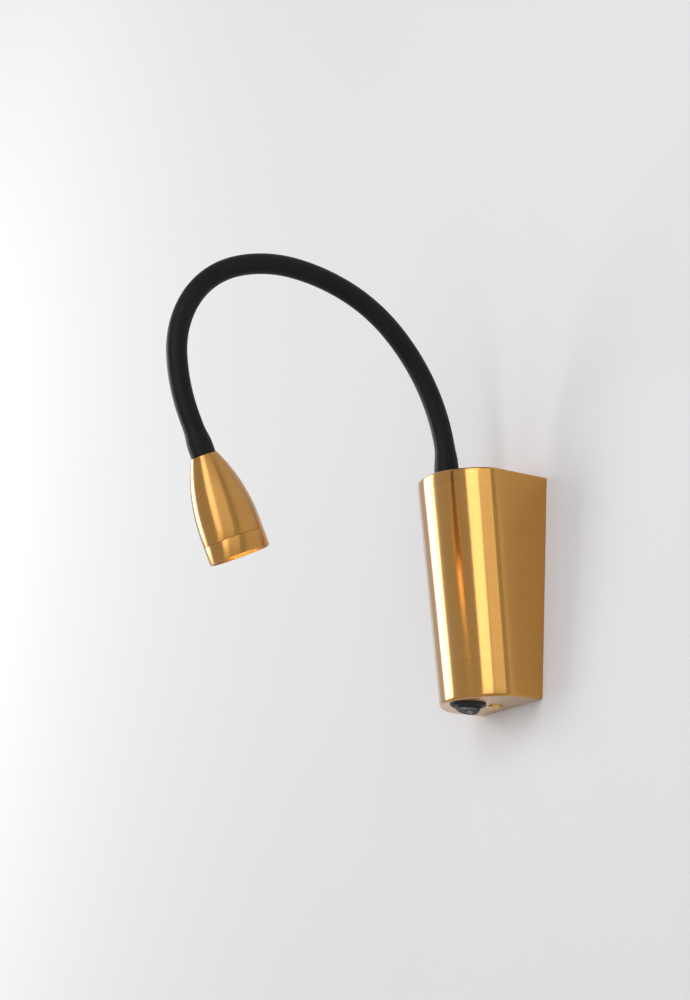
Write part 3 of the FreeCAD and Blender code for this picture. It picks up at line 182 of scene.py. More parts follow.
class LampFinish(bpy.types.PropertyGroup):
    """Colours of the lamp's materials."""
    brass: colour("Brass", "Brushed brass of the cover and head", (0.585, 0.295, 0.062))
    brass_dark: colour("Brass streaks", "Darker streaks of the brushing", (0.545, 0.268, 0.052))
    brass_roughness: share("Brass roughness", "How blurred the brass's reflections are", 0.18)
    rubber: colour("Rubber", "Matte black sleeve", (0.006, 0.006, 0.0065))
    black: colour("Black plastic", "Switch", (0.012, 0.012, 0.012))
    mark: colour("Mark", "Marks on the rocker", (0.5, 0.5, 0.48))
    steel: colour("Steel", "Zinc-plated steel", (0.60, 0.61, 0.63))
    white: colour("White plastic", "Driver and terminal block", (0.80, 0.80, 0.77))
    light: colour("Light", "Warm light behind the lens", (1.0, 0.72, 0.36))


class StudioSettings(bpy.types.PropertyGroup):
    """The wall behind the lamp, the lights and the camera."""
    wall: colour("Wall", "Plain pale wall", (0.72, 0.715, 0.71))
    lens: bpy.props.FloatProperty(name="Lens", description="Focal length of the camera, mm",
                                  default=82.97, min=10.0)
    camera_x: distance("Camera right", "Camera to the right of the lamp", 988.3 * MM)
    camera_out: distance("Camera out", "Camera's distance from the wall", 545.1 * MM)
    camera_drop: distance("Camera drop", "Camera below the middle of the base", 243.1 * MM)
    heading: angle("Camera heading", "Between the camera's aim and the wall's normal", 65.41)
    pitch: angle("Camera pitch", "How much the camera looks up", 14.546)
    roll: angle("Camera roll", "How much the camera is turned about its aim", 1.436)


GROUPS = {"lamp_cover": CoverSizes, "lamp_neck": NeckSizes, "lamp_head": HeadSizes,
          "lamp_switch": SwitchSizes, "lamp_finish": LampFinish, "lamp_studio": StudioSettings}


def chosen(name):
    """One of the lamp's groups of sizes or colours, by its name without "lamp_"."""
    return getattr(bpy.context.scene, "lamp_" + name)


# ---------------------------------------------------------------- shader arithmetic


class Signal:
    """A shader socket that takes part in arithmetic; each operation adds its Math node."""

    def __init__(self, finish, socket):
        self.finish = finish
        self.socket = socket

    def _math(self, operation, first, second):
        return self.finish.node("ShaderNodeMath", {"operation": operation}, {0: first, 1: second})

    def __add__(self, other):
        return self._math("ADD", self, other)

    def __radd__(self, other):
        return self._math("ADD", other, self)

    def __mul__(self, other):
        return self._math("MULTIPLY", self, other)

    def __rmul__(self, other):
        return self._math("MULTIPLY", other, self)


class Finish:
    """One material, built from nodes."""

    def __init__(self, name):
        self.material = bpy.data.materials.new(name)
        self.material.use_nodes = True
        self.tree = self.material.node_tree
        self.tree.nodes.clear()

    def node(self, kind, settings=None, inputs=None, output=0):
        """Makes a node with its settings and the values or links of its sockets."""
        node = self.tree.nodes.new(kind)
        for name, value in (settings or {}).items():
            setattr(node, name, value)
        for key, value in (inputs or {}).items():
            if isinstance(value, Signal):
                self.tree.links.new(value.socket, node.inputs[key])
            else:
                node.inputs[key].default_value = value
        return Signal(self, node.outputs[output])

    def place(self):
        """The point on the piece, in metres."""
        return self.node("ShaderNodeTexCoord", output="Object")

    def moved(self, scale, turn):
        """The point on the piece after a Mapping node: turned and scaled."""
        return self.node("ShaderNodeMapping", {"vector_type": "TEXTURE"}, {
            "Vector": self.place(), "Scale": scale, "Rotation": turn})

    def noise(self, coords, scale, detail=2.0, roughness=0.5):
        return self.node("ShaderNodeTexNoise", {}, {
            "Vector": coords, "Scale": scale, "Detail": detail, "Roughness": roughness})

    def between(self, factor, low, high):
        """A mix of two colours."""
        return self.node("ShaderNodeMix", {"data_type": "RGBA"}, {
            "Factor": factor, 6: low if isinstance(low, Signal) else (*low, 1.0),
            7: high if isinstance(high, Signal) else (*high, 1.0)}, output=2)

    def spread(self, value, low, high, start=0.35, stop=0.65):
        """Stretches a value between start and stop to the range from low to high."""
        return self.node("ShaderNodeMapRange", {}, {
            "Value": value, "From Min": start, "From Max": stop, "To Min": low, "To Max": high})

    def bump(self, height, depth, strength):
        return self.node("ShaderNodeBump", {}, {
            "Height": height, "Distance": depth, "Strength": strength})

    def surface(self, **values):
        """Ends the material in one Principled shader."""
        named = {key.replace("_", " "): value for key, value in values.items()}
        shader = self.node("ShaderNodeBsdfPrincipled", {}, {
            key: value if isinstance(value, (Signal, float)) else (*value, 1.0)
            for key, value in named.items()})
        self.output(shader)
        return self.material

    def output(self, shader):
        end = self.tree.nodes.new("ShaderNodeOutputMaterial")
        self.tree.links.new(shader.socket, end.inputs["Surface"])


# ---------------------------------------------------------------- materials


def brushed_brass(name, turn=0.0, blur=0.0):
    """Lacquered brass, brushed in fine lines round the Z axis after a turn about X."""
    colours = chosen("finish")
    finish = Finish(name)
    lines = finish.noise(finish.moved(FINE_GRAIN, (turn, 0, 0)), 1.0, 3.0, 0.6)
    bands = finish.noise(finish.moved(BROAD_GRAIN, (turn, 0, 0)), 1.0, 2.0)
    cloud = finish.noise(finish.place(), 28.0, 2.0)
    streaks = finish.spread(0.6 * lines + 0.4 * bands, 0.0, 1.0)
    rough = finish.spread(lines, -0.015, 0.02) + finish.spread(cloud, -0.01, 0.01)
    return finish.surface(
        Base_Color=finish.between(streaks, colours.brass_dark, colours.brass), Metallic=1.0,
        Roughness=rough + (colours.brass_roughness + blur), Anisotropic=1.0,
        Anisotropic_Rotation=0.25, Coat_Weight=0.6, Coat_Roughness=0.22,
        Normal=finish.bump(lines, GRAIN_DEPTH, 0.3))


def polished_brass():
    colours = chosen("finish")
    finish = Finish("Polished_Brass")
    wear = finish.noise(finish.place(), 900.0, 3.0)
    base = finish.between(wear, colours.brass_dark, (0.90, 0.68, 0.32))
    return finish.surface(Base_Color=base, Metallic=1.0, Roughness=finish.spread(wear, 0.12, 0.24),
                          Normal=finish.bump(wear, 0.00002, 0.4))


def sleeve_rubber():
    """Smooth matte black rubber with faint mould texture and dust."""
    colours = chosen("finish")
    finish = Finish("Sleeve_Rubber")
    grain = finish.noise(finish.place(), 2600.0, 3.0)
    dust = finish.noise(finish.place(), 90.0, 4.0, 0.6)
    base = finish.between(finish.spread(dust, 0.0, 1.0), colours.rubber, (0.009, 0.009, 0.0095))
    return finish.surface(Base_Color=base, Roughness=finish.spread(dust, 0.45, 0.55),
                          Specular_IOR_Level=0.14, Sheen_Weight=0.02, Sheen_Roughness=0.4,
                          Normal=finish.bump(grain, 0.00003, 0.5))


def moulded_plastic(name, base, roughness, gloss=0.5, grain_depth=0.00003):
    """Moulded plastic with a fine spark-eroded grain."""
    finish = Finish(name)
    grain = finish.noise(finish.place(), 3200.0, 2.0)
    tone = finish.noise(finish.place(), 160.0, 2.0)
    darker = tuple(0.86 * part for part in base)
    return finish.surface(
        Base_Color=finish.between(tone, darker, base),
        Roughness=finish.spread(tone, roughness - 0.05, roughness + 0.05),
        Specular_IOR_Level=gloss, Normal=finish.bump(grain, grain_depth, 0.6))


def plain_metal(name, base, roughness, scale=700.0):
    """Bare or plated metal with a mottled surface."""
    finish = Finish(name)
    mottle = finish.noise(finish.place(), scale, 3.0)
    darker = tuple(0.8 * part for part in base)
    return finish.surface(
        Base_Color=finish.between(mottle, darker, base), Metallic=1.0,
        Roughness=finish.spread(mottle, roughness - 0.08, roughness + 0.08),
        Normal=finish.bump(mottle, 0.00002, 0.5))


def wound_steel():
    """The steel core: a wound strip, drawn as fine bands."""
    colours = chosen("finish")
    finish = Finish("Wound_Steel")
    bands = {"wave_type": "BANDS", "bands_direction": "DIAGONAL"}
    turns = finish.node("ShaderNodeTexWave", bands, {
        "Vector": finish.place(), "Scale": 300.0, "Distortion": 0.0})
    return finish.surface(
        Base_Color=finish.between(turns, (0.30, 0.30, 0.31), colours.steel), Metallic=1.0,
        Roughness=finish.spread(turns, 0.5, 0.3, 0.0, 1.0), Normal=finish.bump(turns, 0.0003, 0.8))


def clear_lens():
    finish = Finish("Clear_Lens")
    ripple = finish.noise(finish.place(), 420.0, 1.0)
    glow = finish.between(ripple, (1.0, 0.80, 0.48), (1.0, 0.86, 0.58))
    return finish.surface(Base_Color=(1.0, 0.97, 0.9), Transmission_Weight=0.85, IOR=1.46,
                          Roughness=finish.spread(ripple, 0.04, 0.1), Emission_Color=glow,
                          Emission_Strength=3.2)


def lit_face(name, strength):
    """A surface that shines warm."""
    colours = chosen("finish")
    finish = Finish(name)
    grain = finish.noise(finish.place(), 1500.0, 2.0)
    glow = finish.between(grain, tuple(0.85 * part for part in colours.light), colours.light)
    return finish.surface(Base_Color=(0.9, 0.75, 0.35), Roughness=0.5, Emission_Color=glow,
                          Emission_Strength=strength)


def pale_wall():
    """The plain wall: it lets the camera through from behind, so the back can be seen."""
    finish = Finish("Pale_Wall")
    plaster = finish.noise(finish.place(), 6.0, 3.0)
    settings = chosen("studio")
    base = finish.between(plaster, tuple(0.985 * part for part in settings.wall), settings.wall)
    shader = finish.node("ShaderNodeBsdfDiffuse", {}, {"Color": base})
    clear = finish.node("ShaderNodeBsdfTransparent")
    behind = finish.node("ShaderNodeNewGeometry", output="Backfacing")
    finish.output(finish.node("ShaderNodeMixShader", {}, {0: behind, 1: shader, 2: clear}))
    return finish.material


# ---------------------------------------------------------------- mesh helpers


def add_object(name, mesh):
    piece = bpy.data.objects.new(name, mesh)
    bpy.context.scene.collection.objects.link(piece)
    return piece


def mesh_from(name, shape):
    """A mesh from a bmesh, with its faces turned outwards."""
    bmesh.ops.remove_doubles(shape, verts=shape.verts, dist=1e-7)
    bmesh.ops.recalc_face_normals(shape, faces=shape.faces)
    mesh = bpy.data.meshes.new(name)
    shape.to_mesh(mesh)
    shape.free()
    return mesh


def dress(piece, material, sharp=30.0):
    """Gives a piece its material and smooth shading up to a sharp angle."""
    piece.data.materials.clear()
    piece.data.materials.append(material)
    piece.data.polygons.foreach_set("use_smooth", [True] * len(piece.data.polygons))
    piece.data.set_sharp_from_angle(angle=math.radians(sharp))
    return piece


def hold(piece, body, slot, *nodes):
    """Puts a finished piece on its body in place of the packed nodes."""
    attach(piece, body)
    if nodes:
        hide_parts(*nodes)


def bake_modifiers(piece):
    """Turns a piece with modifiers into a plain mesh."""
    seen = piece.evaluated_get(bpy.context.evaluated_depsgraph_get())
    mesh = bpy.data.meshes.new_from_object(seen, preserve_all_data_layers=True,
                                           depsgraph=bpy.context.evaluated_depsgraph_get())
    piece.modifiers.clear()
    piece.data = mesh
    return piece


def lathe(outline, place, steps=96):
    """A closed round shape: the outline holds radii and heights about the place's Z axis."""
    shape = bmesh.new()
    rings = []
    for radius, height in outline:
        if radius < 1e-7:
            rings.append([shape.verts.new(place @ Vector((0, 0, height)))])
            continue
        rings.append([shape.verts.new(place @ Vector((
            radius * math.cos(2 * math.pi * step / steps),
            radius * math.sin(2 * math.pi * step / steps), height))) for step in range(steps)])
    pairs = list(zip(rings, rings[1:]))
    if len(rings[0]) > 1:
        pairs.append((rings[-1], rings[0]))
    for low, high in pairs:
        for step in range(steps):
            corners = [low[step % len(low)], low[(step + 1) % len(low)],
                       high[(step + 1) % len(high)], high[step % len(high)]]
            unique = list(dict.fromkeys(corners))
            if len(unique) > 2:
                shape.faces.new(unique)
    return shape


def rounded(outline, corners, steps=5):
    """Rounds the numbered corners of an outline; corners maps an index to its radius."""
    result = []
    count = len(outline)
    for index, point in enumerate(outline):
        if index not in corners:
            result.append(point)
            continue
        here = Vector(point)
        back = (Vector(outline[index - 1]) - here).normalized()
        ahead = (Vector(outline[(index + 1) % count]) - here).normalized()
        half = back.angle(ahead) / 2
        radius = corners[index]
        centre = here + (back + ahead).normalized() * radius / math.sin(half)
        start = here + back * radius / math.tan(half) - centre
        end = here + ahead * radius / math.tan(half) - centre
        for step in range(steps + 1):
            turned = start.normalized().slerp(end.normalized(), step / steps)
            result.append(tuple(centre + radius * turned))
    return result


def cylinder(radius, low, high, place, steps=64):
    return lathe([(0, low), (radius, low), (radius, high), (0, high)], place, steps)


def carve(piece, name, cutter, operation="DIFFERENCE"):
    """Cuts one shape out of a piece, or joins it on, and keeps a plain mesh."""
    tool = add_object(name, mesh_from(name, cutter))
    modifier = piece.modifiers.new(name, "BOOLEAN")
    modifier.operation = operation
    modifier.solver = "EXACT"
    modifier.object = tool
    bake_modifiers(piece)
    bpy.data.objects.remove(tool)
    return piece


# ---------------------------------------------------------------- places


def along_neck():
    """Points 1 mm apart along the gooseneck's middle line: (distance, y, z, heading)."""
    sizes = chosen("neck")
    cover = chosen("cover")
    heading = -cover.top_tilt
    y = -sizes.out
    z = cover.height / 2 + sizes.out * math.tan(cover.top_tilt)
    gone = 0.0
    points = [(gone, y, z, heading)]
    runs = [(sizes.foot, sizes.foot_turn)]
    runs += [(sizes.link, math.radians(turn)) for turn in LINK_TURNS]
    runs += [(sizes.tip, 0.0)]
    for length, turn in runs:
        steps = round(length / MM)
        for step in range(steps):
            middle = heading + turn * (step + 0.5) / steps
            y -= math.sin(middle) * length / steps
            z += math.cos(middle) * length / steps
            gone += length / steps
            points.append((gone, y, z, heading + turn * (step + 1) / steps))
        heading += turn
    return points


def head_place():
    """The head's frame: its origin where the neck ends, its Z axis towards the mouth."""
    gone, y, z, heading = along_neck()[-1]
    return Matrix.Translation((0, y, z)) @ Matrix.Rotation(heading, 4, "X")


def under_place():
    """The switch's frame on the cover's underside: its X axis towards the O mark."""
    cover = chosen("cover")
    switch = chosen("switch")
    return (Matrix.Translation((0, -cover.switch_out, -cover.height / 2))
            @ Matrix.Rotation(switch.turn, 4, "Z"))


# ---------------------------------------------------------------- cover


def section(half_width, depth, inset, back):
    """Points of the cover's outline from the right side at the wall round to the left."""
    side_steps, steps = 8, 14
    sizes = chosen("cover")
    centre_x = half_width - sizes.corner
    corner = sizes.corner - inset
    nose = corner + sizes.nose * centre_x
    reach = sizes.nose * centre_x
    nose_y = nose - (depth - inset)
    corner_y = nose_y - math.sqrt(reach * reach - centre_x * centre_x)
    turn = math.acos(centre_x / reach)
    wide = half_width - inset
    side = [(wide, back + (corner_y - back) * step / side_steps) for step in range(side_steps)]
    arc = [(centre_x + corner * math.cos(turn_at), corner_y - corner * math.sin(turn_at))
           for turn_at in (turn * step / steps for step in range(steps))]
    span = math.pi / 2 - turn
    front = [(nose * math.cos(turn_at), nose_y - nose * math.sin(turn_at))
             for turn_at in (turn + span * step / (2 * steps) for step in range(2 * steps))]
    half = side + arc + front
    return half + [(0.0, nose_y - nose)] + [(-x, y) for x, y in reversed(half)]


def cover_point(level, low, high):
    """A point of the cover's side between the lower and the upper outline."""
    sizes = chosen("cover")
    half = sizes.height / 2
    below = Vector((low[0], low[1], -half))
    above = Vector((high[0], high[1] * math.cos(sizes.top_tilt),
                    half - high[1] * math.sin(sizes.top_tilt)))
    return below.lerp(above, level)


def cover_solid(inset, low_rise, high_drop, back, edge):
    """The closed solid inside an outline, with rounded top and bottom edges."""
    sizes = chosen("cover")
    shape = bmesh.new()
    levels = []
    if edge:
        levels.append((low_rise, inset + edge + 0.5 * MM))
        levels += [(low_rise + edge * (1 - math.cos(turn)), inset + edge * (1 - math.sin(turn)))
                   for turn in (math.pi / 2 * step / 6 for step in range(7))]
        middle = sizes.height - edge
        levels += [(low_rise + edge + (middle - edge) * step / 24, inset) for step in range(1, 24)]
        levels += [(sizes.height - high_drop - edge * (1 - math.sin(turn)),
                    inset + edge * (1 - math.cos(turn)))
                   for turn in (math.pi / 2 * step / 6 for step in range(7))]
        levels.append((sizes.height - high_drop, inset + edge + 0.5 * MM))
    else:
        levels = [(low_rise, inset), (sizes.height - high_drop, inset)]
    rings = []
    for rise, inward in levels:
        level = rise / sizes.height
        low = section(sizes.low_half_width, sizes.low_depth, inward, back)
        high = section(sizes.high_half_width, sizes.high_depth, inward, back)
        rings.append([shape.verts.new(cover_point(level, a, b)) for a, b in zip(low, high)])
    count = len(rings[0])
    for low, high in zip(rings, rings[1:]):
        for step in range(count):
            following = (step + 1) % count
            shape.faces.new((low[step], low[following], high[following], high[step]))
    shape.faces.new(list(reversed(rings[0])))
    shape.faces.new(rings[-1])
    return shape


def make_cover():
    """The brass cover as one shell with its holes."""
    sizes = chosen("cover")
    switch = chosen("switch")
    neck = chosen("neck")
    solid = cover_solid(0.0, 0.0, 0.0, 0.0, sizes.edge)
    cover = add_object("Brass_Cover", mesh_from("Brass_Cover", solid))
    carve(cover, "cavity", cover_solid(sizes.wall, sizes.floor, sizes.wall, 1 * MM, 0.0))
    below, above, shank_hole = -3 * MM, 5 * MM, 2.15 * MM
    down = Matrix.Translation((0, -sizes.switch_out, -sizes.height / 2))
    carve(cover, "switch_hole", cylinder(switch.barrel + 0.05 * MM, below, above, down))
    down = Matrix.Translation((0, -sizes.screw_out, -sizes.height / 2))
    carve(cover, "screw_hole", cylinder(shank_hole, below, above, down))
    carve(cover, "screw_recess", cylinder(switch.screw_head + 0.3 * MM, below, 1 * MM, down))
    gone, y, z, heading = along_neck()[0]
    up = Matrix.Translation((0, y, z)) @ Matrix.Rotation(heading, 4, "X")
    carve(cover, "neck_hole", cylinder(neck.sleeve, -5 * MM, 3 * MM, up))
    dress(cover, brushed_brass("Brushed_Brass_Cover"), 24)
    hold(cover, "base", "brass", "base_cover")


# ---------------------------------------------------------------- gooseneck


class NodeWork:
    """A geometry node tree with named inputs."""

    def __init__(self, name, inputs):
        self.tree = bpy.data.node_groups.new(name, "GeometryNodeTree")
        add_socket = self.tree.interface.new_socket
        add_socket("Geometry", in_out="INPUT", socket_type="NodeSocketGeometry")
        self.names = {}
        for label, (kind, default) in inputs.items():
            entry = add_socket(label, in_out="INPUT", socket_type=kind)
            if default is not None:
                entry.default_value = default
            self.names[label] = entry.identifier
        add_socket("Geometry", in_out="OUTPUT", socket_type="NodeSocketGeometry")
        self.start = self.tree.nodes.new("NodeGroupInput")
        self.end = self.tree.nodes.new("NodeGroupOutput")

    def node(self, kind, settings=None, inputs=None):
        node = self.tree.nodes.new(kind)
        for name, value in (settings or {}).items():
            setattr(node, name, value)
        for key, value in (inputs or {}).items():
            if isinstance(value, bpy.types.NodeSocket):
                self.tree.links.new(value, node.inputs[key])
            else:
                node.inputs[key].default_value = value
        return node.outputs[0]

    def given(self, label):
        return self.start.outputs[label]

    def finish(self, geometry):
        """Ends the tree in Realize Instances and Set Material."""
        real = self.node("GeometryNodeRealizeInstances", {}, {"Geometry": geometry})
        painted = self.node("GeometryNodeSetMaterial", {}, {
            "Geometry": real, "Material": self.given("Material")})
        self.tree.links.new(painted, self.end.inputs["Geometry"])

    def add_to(self, piece, values):
        modifier = piece.modifiers.new(self.tree.name, "NODES")
        modifier.node_group = self.tree
        for label, value in values.items():
            modifier[self.names[label]] = value
        return modifier


def tube_work():
    """Sweeps a circle along a line whose points hold their own radius."""
    work = NodeWork("Tube_Along_Line", {
        "Sides": ("NodeSocketInt", 48), "Closed Ends": ("NodeSocketBool", True),
        "Material": ("NodeSocketMaterial", None)})
    line = work.node("GeometryNodeMeshToCurve", {}, {"Mesh": work.given("Geometry")})
    radius = work.node("GeometryNodeInputNamedAttribute", {"data_type": "FLOAT"}, {
        "Name": "thickness"})
    circle = work.node("GeometryNodeCurvePrimitiveCircle", {}, {
        "Resolution": work.given("Sides"), "Radius": 1.0})
    swept = work.node("GeometryNodeCurveToMesh", {}, {
        "Curve": line, "Profile Curve": circle, "Scale": radius,
        "Fill Caps": work.given("Closed Ends")})
    smooth = work.node("GeometryNodeSetShadeSmooth", {}, {"Geometry": swept, "Shade Smooth": True})
    work.finish(smooth)
    return work


def line_mesh(name, points, thickness, aside=0.0):
    """A row of points joined by edges, each with its own thickness."""
    mesh = bpy.data.meshes.new(name)
    mesh.from_pydata([(aside, y, z) for gone, y, z, heading in points],
                     [(step, step + 1) for step in range(len(points) - 1)], [])
    values = mesh.attributes.new("thickness", "FLOAT", "POINT")
    values.data.foreach_set("value", [thickness(point[0]) for point in points])
    return mesh


def sleeve_thickness(gone):
    """The sleeve's radius at a distance along the neck: thick at both ends."""
    sizes = chosen("neck")
    whole = sizes.foot + len(LINK_TURNS) * sizes.link + sizes.tip
    low = (gone - sizes.boot_straight) / (sizes.foot - sizes.boot_straight)
    high = (whole - gone - sizes.boot_straight) / (sizes.tip - sizes.boot_straight - 5 * MM)
    near = min(max(min(low, high), 0.0), 1.0)
    return sizes.sleeve + (sizes.boot - sizes.sleeve) * 0.5 * (1 + math.cos(math.pi * near))


def neck_pieces():
    """(name, first point, last point, body before, body after, joint's point) of each piece."""
    sizes = chosen("neck")
    bodies = ["base"] + ["neck_link_%d" % link for link in range(1, 9)] + ["head"]
    foot = round(sizes.foot / MM)
    link = round(sizes.link / MM)
    whole = foot + 8 * link + round(sizes.tip / MM)
    joints = [foot + link * number for number in range(9)]
    cuts = [0] + [joint + link // 2 for joint in joints[:-1]] + [whole]
    return [(number, cuts[number], cuts[number + 1], bodies[number], bodies[number + 1],
             joints[number]) for number in range(9)]


def layer_nodes(kind, number):
    """The packed nodes that one piece of a layer of the neck stands for."""
    names = {0: ("foot", "1"), 8: ("tip",)}.get(number, ("%d" % (number + 1),))
    return ["neck_%s_%s" % (kind, name) for name in names]


def make_neck_layer(kind, label, material, thickness, wall, asides=(0.0,), sides=48):
    """One layer of the gooseneck, as nine pieces, each across one of the nine joints."""
    line = along_neck()
    work = tube_work()
    for number, first, last, before, after, joint in neck_pieces():
        halves = []
        for aside in asides:
            half = add_object("%s_%d" % (label, number + 1), line_mesh(
                label, line[first:last + 1], thickness, aside))
            work.add_to(half, {"Sides": sides, "Closed Ends": not wall, "Material": material})
            if wall:
                shell = half.modifiers.new("wall", "SOLIDIFY")
                shell.thickness = wall
                shell.offset = -1.0
            halves.append(bake_modifiers(half))
        piece = halves[0]
        if len(halves) > 1:
            with bpy.context.temp_override(active_object=piece, selected_editable_objects=halves):
                bpy.ops.object.join()
        dress(piece, material, 40)
        start = line[max(joint - BLEND_REACH, first)]
        end = line[min(joint + BLEND_REACH, last)]
        ends = [(before, (0, start[1], start[2])), (after, (0, end[1], end[2]))]
        if number == STEADY_FROM_TIP:
            ends.reverse()
        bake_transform(piece)
        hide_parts(*layer_nodes(kind, number))
    bpy.data.node_groups.remove(work.tree)


def make_gooseneck():
    """The whole gooseneck: rubber sleeve, wound steel core and two wires."""
    sizes = chosen("neck")
    make_neck_layer("sleeve", "Neck_Sleeve", sleeve_rubber(), sleeve_thickness,
                    sizes.sleeve - sizes.core - 0.05 * MM, sides=sizes.sides)
    make_neck_layer("core", "Neck_Core", wound_steel(), lambda gone: sizes.core,
                    sizes.core - sizes.core_bore, sides=32)
    insulation = moulded_plastic("Neck_Wire_Insulation", (0.05, 0.05, 0.055), 0.4)
    make_neck_layer("wires", "Neck_Wires", insulation, lambda gone: sizes.wire,
                    0.0, (-sizes.wire_side, sizes.wire_side), 12)


# ---------------------------------------------------------------- head


def make_head_shell():
    """The bullet-shaped brass shell, with its bore, seat and threads."""
    sizes = chosen("head")
    seam = sizes.length - sizes.ring
    drop = sizes.radius - sizes.top
    run = sizes.curve - sizes.edge
    bulge = (drop * drop + run * run) / (2 * drop)
    curve = []
    for step in range(1, 40):
        height = sizes.edge + run * step / 40
        back = sizes.curve - height
        curve.append((sizes.radius - bulge + math.sqrt(bulge * bulge - back * back), height))
    hole, throat, thread = 5.05 * MM, 10.8 * MM, 13.2 * MM
    floor, taper, seat, thread_end = 10 * MM, 22 * MM, 25 * MM, seam + 2.6 * MM
    outline = [(hole, 0), (sizes.top - sizes.edge, 0), (sizes.top - 0.1 * MM, 0.12 * MM),
               (sizes.top, sizes.edge)] + curve
    outline += [(sizes.radius, sizes.curve), (sizes.radius, seam - 0.3 * MM),
                (sizes.radius - 0.06 * MM, seam - 0.1 * MM), (sizes.radius - 0.2 * MM, seam),
                (thread, seam), (thread, thread_end), (sizes.bore, thread_end),
                (sizes.bore, seat), (throat, seat), (throat, taper),
                (6.55 * MM, floor), (hole, floor)]
    shell = add_object("Spot_Head", mesh_from("Spot_Head", lathe(outline, head_place(), 160)))
    dress(shell, brushed_brass("Brushed_Brass_Head", head_turn(), 0.12), 24)
    hold(shell, "head", "brass", "head_shell")


def head_turn():
    return along_neck()[-1][3]


def make_front_ring():
    """The front ring, with fine anti-glare grooves in its mouth."""
    sizes = chosen("head")
    seam = sizes.length - sizes.ring
    inside, spigot, back, shoulder = 13.25 * MM, 11.7 * MM, 43.2 * MM, 44.5 * MM
    lip = back + 0.8 * MM
    rim = sizes.length - sizes.edge
    outline = [(inside, seam), (sizes.radius - 0.2 * MM, seam),
               (sizes.radius - 0.06 * MM, seam + 0.1 * MM), (sizes.radius, seam + 0.3 * MM),
               (sizes.radius, rim), (sizes.radius - 0.12 * MM, rim + 0.28 * MM),
               (sizes.radius - sizes.edge, sizes.length), (sizes.mouth + 0.2 * MM, sizes.length),
               (sizes.mouth + 0.05 * MM, sizes.length - 0.1 * MM)]
    count = sizes.grooves
    for step in range(count, 0, -1):
        radius = sizes.throat + (sizes.mouth - sizes.throat) * step / count
        height = lip + (rim - lip) * step / count
        fall = (rim - lip) / count
        outline += [(radius, height), (radius, height - 0.7 * fall)]
    outline += [(sizes.throat, lip), (sizes.throat, back), (spigot, back),
                (spigot, shoulder), (inside, shoulder)]
    ring = add_object("Front_Ring", mesh_from("Front_Ring", lathe(outline, head_place(), 160)))
    dress(ring, brushed_brass("Brushed_Brass_Ring", head_turn(), 0.12), 24)
    hold(ring, "head", "brass", "front_ring")


# ---------------------------------------------------------------- switch and screw


def make_switch_body():
    """The switch's bezel and barrel, with its two snap clips."""
    sizes = chosen("switch")
    outline = [(0, sizes.well_depth), (sizes.well, sizes.well_depth),
               (sizes.well, -sizes.bezel_gauge), (sizes.bezel - 0.9 * MM, -sizes.bezel_gauge),
               (sizes.bezel, -0.5 * MM), (sizes.bezel, 0), (sizes.barrel, 0),
               (sizes.barrel, sizes.barrel_length), (0, sizes.barrel_length)]
    outline = rounded(outline, {2: 0.25 * MM, 3: 0.6 * MM, 4: 0.3 * MM, 7: 0.4 * MM})
    body = add_object("Switch_Body", mesh_from("Switch_Body", lathe(outline, under_place())))
    clips = bmesh.new()
    for side in (-1, 1):
        bmesh.ops.create_cube(clips, size=1.0, matrix=under_place() @ Matrix.Translation(
            (side * sizes.barrel, 0, 4 * MM)) @ Matrix.Diagonal((2.4 * MM, 4.8 * MM, 3.6 * MM, 1)))
    carve(body, "clips", clips, "UNION")
    black = chosen("finish").black
    dress(body, moulded_plastic("Switch_Plastic", black, 0.42, 0.25), 30)
    hold(body, "base", "black_plastic", "switch_body")


def rocker_place():
    sizes = chosen("switch")
    return (under_place() @ Matrix.Translation((0, 0, -sizes.hinge))
            @ Matrix.Rotation(sizes.throw, 4, "Y"))


